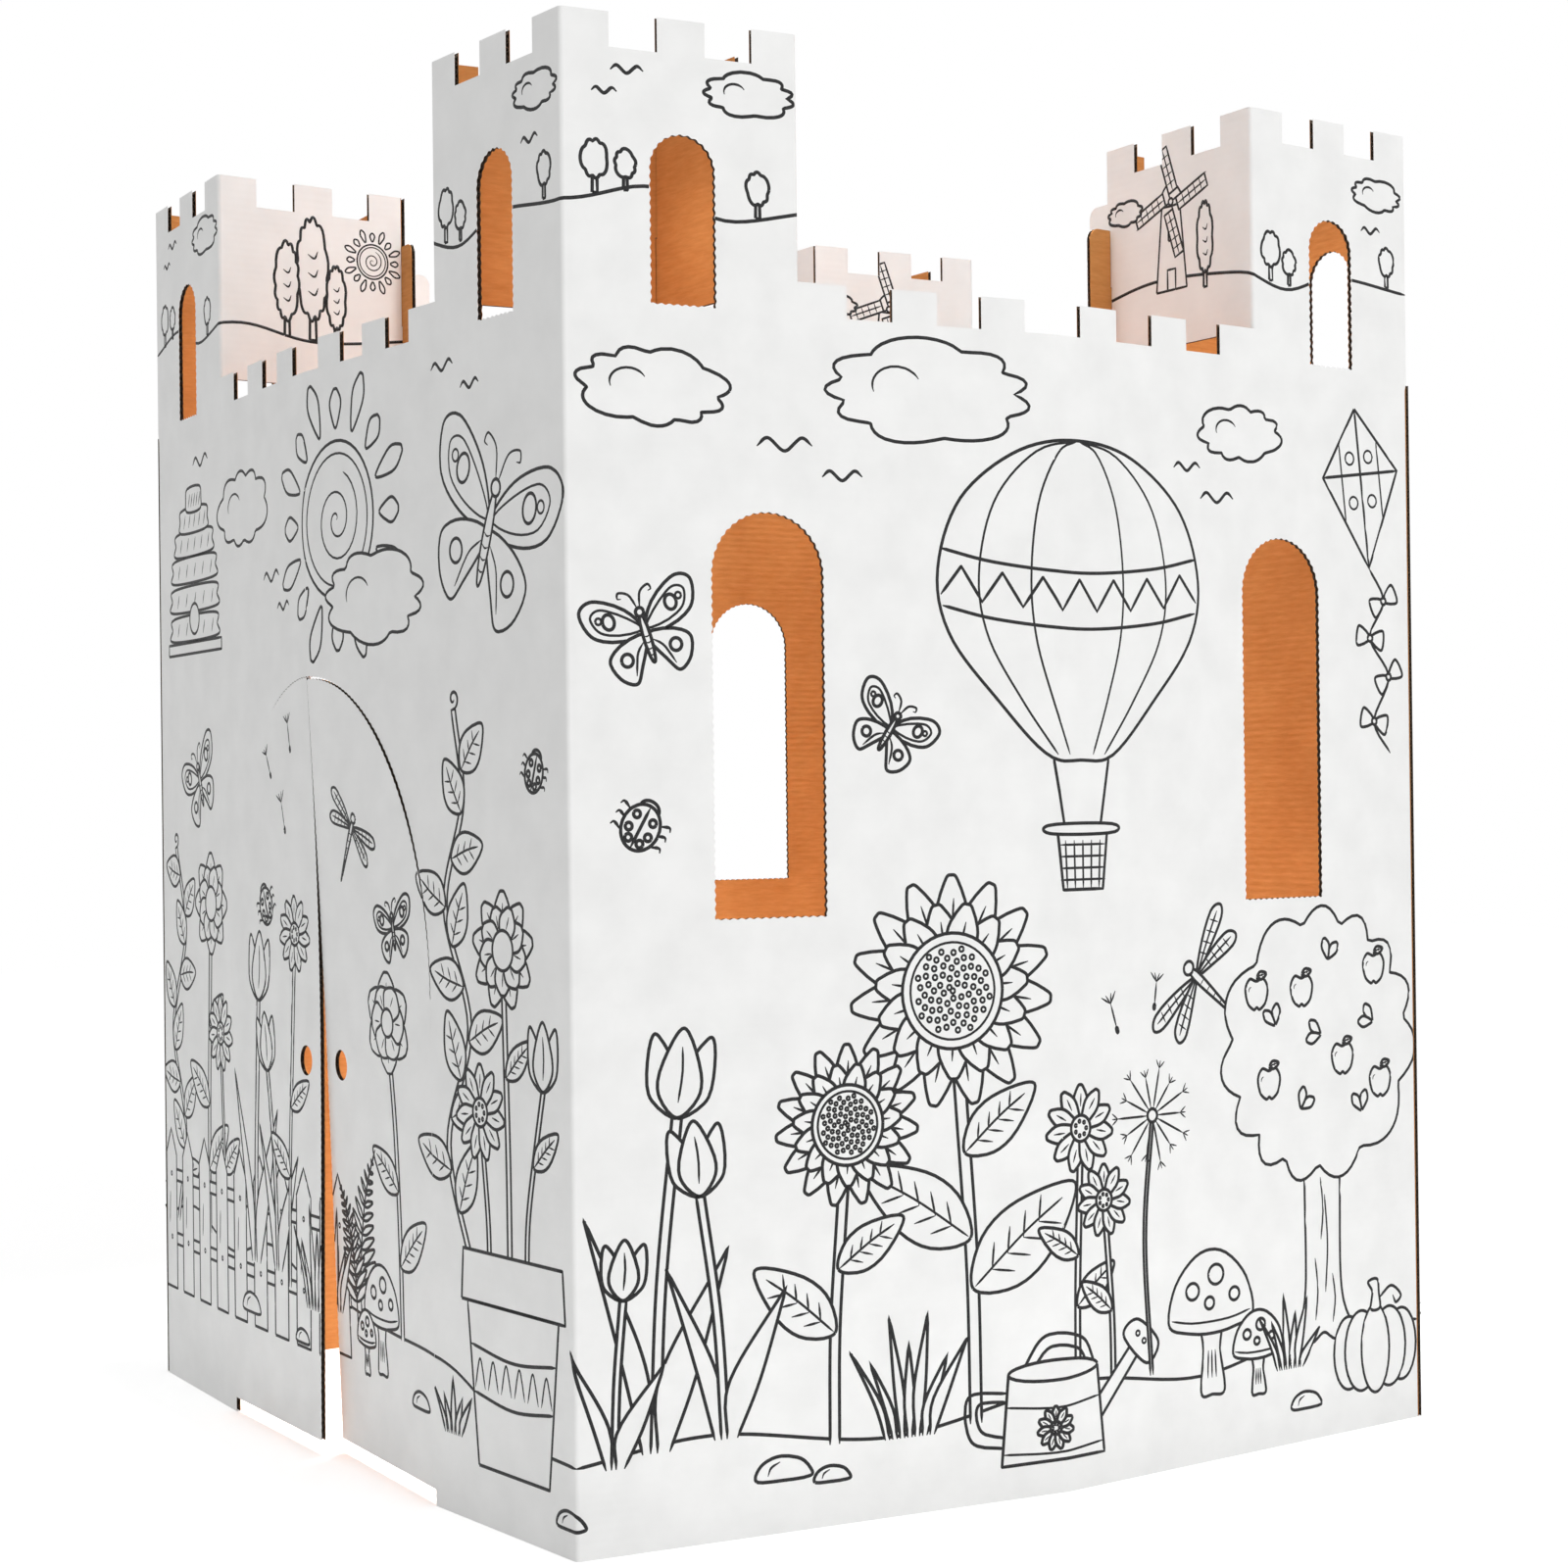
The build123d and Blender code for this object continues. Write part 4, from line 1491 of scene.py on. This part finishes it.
def hills(points, trees):
    """A far line of hills, with small round trees on it."""
    strokes = []
    for x, y, size in trees:
        strokes += moved(drawn(size, block(0.06, 0, 0.05, 0.5)), x, y)
        strokes += moved(puffy(size * 0.28, size * 0.36, 7, 0.16), x, y + size * 0.72)
    return strokes + line(*points)


def poplar(tall):
    ticks = [hair((-0.04, y), (0.02, y - 0.03), (0.05, y + 0.03)) for y in (0.4, 0.55, 0.7)]
    crown = moved(puffy(tall * 0.13, tall * 0.38, 12, 0.13), 0, tall * 0.58)
    return drawn(tall, block(0.03, 0, 0.025, 0.25)) + crown + drawn(tall, *ticks)


def windmill(tall):
    """A mill with four lattice sails, its foot at the zero point."""
    strokes = block(0.17, 0, 0.1, 0.62)
    strokes += shape((-0.12, 0.62), (-0.09, 0.72), (0, 0.78), (0.09, 0.72), (0.12, 0.62))
    strokes += block(0.045, 0, 0.045, 0.15) + block(0.03, 0.36, 0.03, 0.45)
    sail = straight((0, 0.06), (0.1, 0.06), (0.1, 0.4), (0, 0.4)) + edge((0.05, 0.06), (0.05, 0.4))
    for i in range(4):
        sail += edge((0, 0.13 + 0.068 * i), (0.1, 0.13 + 0.068 * i))
    sail += edge((0, 0), (0, 0.42), weight=1.0)
    for turn in (20, 110, 200, 290):
        strokes += moved(sail, 0, 0.64, turn)
    return drawn(tall, strokes, ring(0, 0.64, 0.025))


# The layout of the print. A wall's zero point is the foot of its first corner.


def laid_out(zero, ground, items):
    """Motifs on a ground, each with its place and, where it is turned, its turn in degrees."""
    strokes = list(ground)
    for motif, *where in items:
        strokes += moved(motif, *where)
    return moved(strokes, zero)


def tower_print(corner, before, after, drop):
    """Sky and hills round a tower's corner, on its sides and its flaps."""
    reach = 2.0 * tower_side + tab_length
    ridge = [(0, 968)]
    trees = []
    sky = []
    if before:
        ridge = [(-reach, 968), (90 - reach, 980), (-212, 972), (-150, 958), (-90, 974)] + ridge
        trees += [(-24, 972, 30), (-146, 962, 26), (-168, 964, 36)]
        sky += [(cloud(52), -36, 1056 - 3.2 * drop), (thinner(windmill(118), 0.8), -294, 970),
                (poplar(72), -250, 966), (cloud(40), -356, 1046), (gull(24), -44, 1016)]
    if after:
        ridge += [(70, 982), (130, 962), (212, 974), (290, 962), (reach, 974)]
        trees += [(26, 974, 34), (50, 978, 26), (156, 966, 30)]
        sky += [(cloud(62), 150, 1058 - 2.4 * drop), (gull(26), 52, 1062), (gull(20), 34, 1046),
                (poplar(112), 284, 964), (poplar(86), 258, 966), (poplar(70), 308, 964),
                (thinner(sun(16), 0.6), 346, 1042)]
    return laid_out(corner, hills(ridge, trees), sky)


window_ground = line((0, 66), (110, 78), (260, 60), (420, 84), (560, 70), (700, 92), (826, 84))
window_wall = laid_out(wall_length, window_ground, [
    (cloud(104), 70, 838), (cloud(150), 300, 846), (cloud(84), 618, 834), (gull(46), 176, 796),
    (gull(34), 224, 776), (gull(30), 556, 800), (gull(38), 590, 776), (balloon(262, 350), 436, 466),
    (kite(118), 766, 800, 7), (butterfly(92), 62, 660, 18), (ladybird(36), 56, 520, -30),
    (butterfly(74), 262, 590, -34), (dragonfly(128), 560, 392, 52), (tree(250, 372), 706, 76),
    (standing(sunflower(88), 330, -16, [(0.3, 120, 1), (0.42, 110, -1), (0.62, 80, 1)], 10), 330, 62),
    (standing(sunflower(60), 236, 14, [(0.34, 84, -1), (0.55, 66, 1)], 8), 208, 60),
    (standing(daisy(34), 200, 6, [(0.3, 50, 1), (0.5, 44, -1)], 5), 424, 80),
    (standing(daisy(28), 142, -8, [(0.4, 40, -1)], 4.5), 462, 80), (grass(70, 96, 7), 272, 58),
    (tulip_plant(240, 20, 54), 62, 70), (tulip_plant(178, -18, 46), 118, 74),
    (tulip_plant(120, 8, 36), 30, 62), (mushroom(96, 112), 572, 56), (mushroom(58, 66), 626, 48),
    (watering_can(112), 404, 26), (grass(50, 64, 6), 664, 62), (pumpkin(104), 770, 30),
    (stone(46), 166, 40), (stone(30), 206, 34), (stone(36), 684, 28),
    (stalk([(0, 0), (-6, 110), (4, 206)], 3.0), 504, 78), (seed_head(38), 508, 284),
    (seed(20), 470, 356, 18), (seed(18), 512, 372, -8)])

door_ground = line((0, 150), (90, 168), (200, 142), (300, 160), (412, 132), (520, 120), (640, 112),
                   (740, 74), (826, 66))
door_wall = laid_out(0.0, door_ground, [
    (sun(64), 470, 770), (cloud(140), 532, 704), (cloud(120), 250, 800), (butterfly(186), 716, 742, -22),
    (butterfly(96), 120, 560, 24), (gull(40), 326, 730), (gull(30), 356, 704), (gull(44), 130, 850),
    (beehive(128), 108, 690),
    (climber([(40, 150), (64, 240), (30, 330), (70, 420), (44, 500)], 6, 56, 34), 0, 0),
    (standing(blossom(46, 8, 2), 300, 12, [(0.2, 70, 1), (0.4, 66, -1), (0.62, 50, 1)], 7), 136, 150),
    (standing(daisy(34), 190, -10, [(0.35, 52, 1)], 5), 182, 144), (fence(9, 150), 2, 84),
    (tulip_plant(230, 16, 50), 262, 140), (tulip_plant(170, -20, 42), 316, 140),
    (standing(daisy(32), 300, 18, [(0.3, 54, -1), (0.5, 46, 1)], 5), 344, 130),
    (ladybird(34), 300, 452, 24), (seed(22), 346, 520, 16), (seed(18), 316, 566, 28),
    (seed(20), 364, 588, 10), (dragonfly(96), 484, 520, -30), (butterfly(66), 560, 440, 12),
    (standing(blossom(40, 6, 2, 0.28), 250, -12, [(0.25, 64, 1), (0.45, 58, -1)], 6), 556, 116),
    (fern(150, 40), 468, 112), (fern(120, -34), 460, 112), (mushroom(72, 84), 512, 84),
    (mushroom(40, 50), 478, 78), (grass(70, 90, 7), 404, 118), (stone(44), 250, 96),
    (stone(30), 372, 88), (stone(34), 592, 70),
    (climber([(0, 0), (-34, 90), (0, 180), (-36, 270), (-8, 350), (-20, 420)], 6, 60, 36), 680, 190),
    (standing(daisy(36), 128, -12, [], 5), 706, 180),
    (standing(blossom(44, 9, 2), 250, -6, [(0.6, 46, 1)], 6), 736, 180),
    (standing(tulip(42), 150, 26, [(0.6, 44, 1)], 5), 760, 180), (flower_pot(150, 160), 738, 44),
    (ladybird(30), 778, 560, -20), (gull(34), 648, 868), (gull(28), 690, 850),
    (grass(40, 44, 5), 648, 60), (stone(34), 816, 22)])

back_path = sheets["back"][0].path
back_corners = [back_path.starts[index] for index in (0, 2, 4)]
side_length = back_corners[1]
back_length = back_corners[2] - back_corners[1]

side_ground = line((0, 84), (150, 70), (330, 92), (480, 66), (660, 86), (side_length, 84))
side_wall = laid_out(0.0, side_ground, [
    (sun(76), 300, 744), (cloud(168), 392, 690), (cloud(110), 92, 836), (cloud(128), 680, 800),
    (gull(40), 84, 716), (gull(32), 122, 694), (gull(44), 566, 838), (kite(150), 560, 690, 20),
    (butterfly(150), 170, 500, 20), (dragonfly(104), 744, 548, -40), (windmill(430), 420, 78),
    (poplar(300), 566, 76), (poplar(230), 616, 80), (tree(230, 340), 130, 74),
    (standing(sunflower(70), 290, 18, [(0.3, 100, 1), (0.5, 80, -1)], 9), 724, 74),
    (fence(8, 120), 520, 34), (tulip_plant(180, 14, 46), 262, 74), (tulip_plant(140, -12, 40), 300, 70),
    (pumpkin(90), 220, 30), (stone(46), 330, 36), (grass(60, 80, 6), 30, 62), (mushroom(76, 90), 480, 44),
    (ladybird(34), 752, 676, 30)])

back_ground = line((0, 84), (120, 66), (290, 88), (450, 64), (620, 86), (back_length, 150))
back_wall = laid_out(back_corners[1], back_ground, [
    (cloud(120), 84, 842), (cloud(140), 400, 836), (cloud(96), 742, 838), (gull(42), 236, 812),
    (gull(32), 280, 790), (gull(36), 560, 812), (bunting([(0, 700), (60, 676), (112, 690)], 4, 34), 0, 0),
    (butterfly(160), 360, 640, -16), (butterfly(80), 772, 640, 18), (dragonfly(110), 532, 524, 36),
    (standing(sunflower(92), 350, 14, [(0.28, 120, -1), (0.42, 110, 1), (0.62, 84, -1)], 10), 392, 66),
    (standing(sunflower(62), 240, -12, [(0.34, 84, 1), (0.55, 66, -1)], 8), 498, 66),
    (tree(230, 344), 150, 70), (beehive(120), 266, 92),
    (climber([(0, 0), (26, 90), (-20, 190), (22, 280), (0, 350)], 7, 64, 38), 590, 76),
    (flower_pot(124, 130), 664, 52), (standing(daisy(36), 150, -14, [], 5), 644, 176),
    (standing(daisy(40), 190, 14, [], 5), 680, 176), (tulip_plant(200, 14, 48), 764, 104),
    (tulip_plant(150, -14, 42), 796, 110), (mushroom(84, 96), 50, 50), (stone(44), 320, 36),
    (grass(70, 90, 7), 444, 56), (ladybird(34), 560, 330, -20), (pumpkin(96), 552, 26)])

# The towers stand at the corners of each sheet, and their clouds hang lower from one to the next
for strokes, corners, drop in ((window_wall, (0.0, wall_length, 2.0 * wall_length), 0),
                               (back_wall, back_corners, 3)):
    for number, corner in enumerate(corners):
        strokes += tower_print(corner, number > 0, number < 2, drop + number)


# The strokes laid on the patches, and made as ribbons of ink


class Stroke:
    """A pen stroke sampled closely, with its pen's swell and what later strokes leave to be seen."""

    def __init__(self, points, hides, weight):
        length = lengths_along(points)[-1]
        count = max(2, int(length / print_step) + 1)
        places = np.linspace(0.0, length, count)
        closed = math.dist(points[0], points[-1]) < 1e-6
        ends = np.minimum(places, length - places)
        self.samples = points_at(points, places)
        self.swell = weight * (np.ones(count) if closed else np.clip(pen_tip + ends / pen_taper, 0.0, 1.0))
        self.seen = np.ones(count, bool)
        self.cover = [points.tolist()] if hides else None
        self.low = self.samples.min(axis=0)
        self.high = self.samples.max(axis=0)

    def near(self, low, high):
        return (self.low < high).all() and (low < self.high).all()

    def run(self, first, last, bends):
        """A stretch of the stroke as few (distance, height, swell) points, with one at each bend."""
        samples, swell = self.samples, self.swell
        run = []
        turned_by = 0.0
        kept = first
        for i in range(first, last):
            if i > first:
                (x, y), (next_x, next_y) = samples[i - 1:i + 1]
                crossed = bends[(bends > min(x, next_x)) & (bends < max(x, next_x))]
                for bend in crossed if next_x > x else crossed[::-1]:
                    part = (bend - x) / (next_x - x)
                    run.append((bend, y * (1.0 - part) + next_y * part, swell[i]))
            if first < i < last - 1:
                way_in = samples[i] - samples[i - 1]
                way_out = samples[i + 1] - samples[i]
                turned_by += abs(way_in[0] * way_out[1] - way_in[1] * way_out[0]) / (way_in @ way_in + 1e-9)
                reached = (i - kept) * print_step >= print_reach
                if turned_by < print_turn and not reached and swell[i] == swell[i - 1]:
                    continue
            run.append((*samples[i], swell[i]))
            turned_by = 0.0
            kept = i
        return run


def hidden(strokes):
    """Takes out of each stroke what later strokes hide."""
    for number, upper in enumerate(strokes):
        if upper.cover:
            for lower in strokes[:number]:
                if lower.near(upper.low, upper.high):
                    lower.seen &= ~inside(lower.samples, upper.cover)
    return strokes


def runs_on(patch, strokes):
    """The runs of the strokes that show on a patch."""
    outline = np.array(patch.loops[0])
    bends = np.array(patch.path.bends())
    runs = []
    for stroke in strokes:
        if stroke.near(outline.min(axis=0), outline.max(axis=0)):
            shown = stroke.seen & inside(stroke.samples, patch.loops)
            ends = np.flatnonzero(np.diff(np.concatenate([[0], shown.view(np.int8), [0]])))
            runs += [stroke.run(first, last, bends) for first, last in zip(ends[::2], ends[1::2])
                     if last - first >= 3]
    return runs


def pen_tree():
    """Turns pen strokes into flat ribbons of ink that lie on the board."""
    tree, sizes = new_tree("pen_strokes", ("Pen width", "Ink thickness"))
    strokes = add(tree, "GeometryNodeMeshToCurve", inputs={"Mesh": sizes["Geometry"]})
    way = add(tree, "GeometryNodeInputNamedAttribute", {"data_type": "FLOAT_VECTOR"}, {"Name": "outward"})
    faced = add(tree, "GeometryNodeSetCurveNormal", {"mode": "FREE"},
                {"Curve": strokes, "Normal": way})
    swell = add(tree, "GeometryNodeInputNamedAttribute", {"data_type": "FLOAT"}, {"Name": "swell"})
    weighted = add(tree, "GeometryNodeSetCurveRadius",
                   inputs={"Curve": faced, "Radius": swell})
    section = add(tree, "GeometryNodeCurvePrimitiveQuadrilateral",
                  inputs={"Width": sizes["Ink thickness"], "Height": sizes["Pen width"]})
    ribbon = add(tree, "GeometryNodeCurveToMesh",
                 inputs={"Curve": weighted, "Profile Curve": section,
                         "Fill Caps": True, "Scale": swell})
    end_tree(tree, ribbon, sizes["Material"])
    return tree


def print_piece(name, patches, strokes, tree):
    """One wall's print as a piece of its own."""
    points = []
    edges = []
    for patch in patches:
        for run in runs_on(patch, strokes):
            edges += [(len(points) + i, len(points) + i + 1) for i in range(len(run) - 1)]
            points += [(patch.path, *point) for point in run]
    piece = new_piece(name, [path.point(x, y, ink_middle) for path, x, y, _ in points], [], edges)
    ways = [way_out(path, x, y, ink_middle, ink_middle + probe) for path, x, y, _ in points]
    give(piece, "outward", "FLOAT_VECTOR", "vector", ways)
    give(piece, "swell", "FLOAT", "value", [swell for *_, swell in points])
    grow(piece, tree, {"Pen width": pen_width * MM, "Ink thickness": ink_thickness * MM, "Material": ink})
    keep_result(piece)
    return piece


pen_strokes = pen_tree()
for sheet_name, walls in (("front", {"door_wall": door_wall, "window_wall": window_wall}),
                          ("back", {"side_wall": side_wall, "back_wall": back_wall})):
    laid = hidden([Stroke(*stroke) for strokes in walls.values() for stroke in strokes])
    for wall, strokes in walls.items():
        own, laid = laid[:len(strokes)], laid[len(strokes):]
        piece = print_piece(f"{wall}_print", sheets[sheet_name], own, pen_strokes)
        hand_over(piece, f"{sheet_name}_sheet")


# Studio


def floor_material():
    """A studio floor of white laminate: matt, it keeps the shadow, and the camera sees it white."""
    material = bpy.data.materials.new("white_studio_floor")
    material.use_nodes = True
    tree = material.node_tree
    tree.nodes.clear()
    rays = add(tree, "ShaderNodeLightPath")
    plain = add(tree, "ShaderNodeBsdfDiffuse", inputs={"Color": linear("#F4F4F4")})
    seen = add(tree, "ShaderNodeMath", {"operation": "MAXIMUM"},
               {0: rays.outputs["Is Camera Ray"], 1: rays.outputs["Is Glossy Ray"]})
    lift = add(tree, "ShaderNodeMath", {"operation": "MULTIPLY"}, {0: seen, 1: floor_lift})
    glow = add(tree, "ShaderNodeEmission", inputs={"Strength": lift})
    both = add(tree, "ShaderNodeAddShader", inputs={0: plain, 1: glow})
    add(tree, "ShaderNodeOutputMaterial", inputs={"Surface": both})
    return material


def studio_world():
    world = bpy.data.worlds.new("studio")
    world.use_nodes = True
    tree = world.node_tree
    tree.nodes.clear()
    rays = add(tree, "ShaderNodeLightPath")
    glossy = add(tree, "ShaderNodeMath", {"operation": "MAXIMUM"},
                 {0: rays.outputs["Is Camera Ray"], 1: rays.outputs["Is Glossy Ray"]})
    seen = add(tree, "ShaderNodeMath", {"operation": "MAXIMUM"},
               {0: glossy, 1: rays.outputs["Is Transmission Ray"]})
    soft = add(tree, "ShaderNodeBackground", inputs={"Color": linear("#FFFFFF"), "Strength": sky_level})
    white = add(tree, "ShaderNodeBackground", inputs={"Color": linear("#FFFFFF"), "Strength": 1.0})
    mixed = add(tree, "ShaderNodeMixShader",
                inputs={0: seen, 1: soft, 2: white})
    add(tree, "ShaderNodeOutputWorld", inputs={"Surface": mixed})
    bpy.context.scene.world = world


def area_lamp(name, position, target, size, power, spread=180.0):
    """A square lamp that points at a target, its power in watts and its spread in degrees."""
    data = bpy.data.lights.new(name, "AREA")
    data.shape = "SQUARE"
    data.size = size
    data.energy = power
    data.spread = math.radians(spread)
    lamp = bpy.data.objects.new(name, data)
    direction = Vector(target) - Vector(position)
    turn = direction.to_track_quat("-Z", "Y").to_matrix().to_4x4()
    lamp.matrix_world = Matrix.Translation(position) @ turn
    bpy.context.scene.collection.objects.link(lamp)


def point_lamp(name, position, radius, power):
    """A small bare lamp that the camera does not see."""
    data = bpy.data.lights.new(name, "POINT")
    data.shadow_soft_size = radius
    data.energy = power
    lamp = bpy.data.objects.new(name, data)
    lamp.location = position
    lamp.visible_camera = False
    bpy.context.scene.collection.objects.link(lamp)


reach = floor_size / 2.0
floor = new_piece("studio_floor", [(-reach, -reach, 0.0), (reach, -reach, 0.0), (reach, reach, 0.0),
                                   (-reach, reach, 0.0)], [(0, 1, 2, 3)])
floor.data.materials.append(floor_material())
studio_world()
area_lamp("window_side_lamp", (4.2, 0.4, 1.6), (0.0, 0.0, 0.6), 2.6, 51.0)
area_lamp("door_side_lamp", (-1.2, -4.0, 1.8), (0.0, 0.0, 0.6), 2.4, 2.0)
area_lamp("top_lamp", (0.0, 0.0, 3.0), (0.0, 0.0, 0.0), 0.6, 8.0, 30.0)
corners = (corner_near, corner_right, corner_far, corner_left)
middle = sum(corners, Vector((0.0, 0.0))) / 4.0
for number, corner in enumerate(corners):
    spot = corner + unit(middle - corner) * tower_side * 0.7
    point_lamp(f"tower_fill_{number}", place(spot, wall_top + 40.0), 0.05, 0.2)

scene = bpy.context.scene
scene.view_settings.view_transform = "Standard"
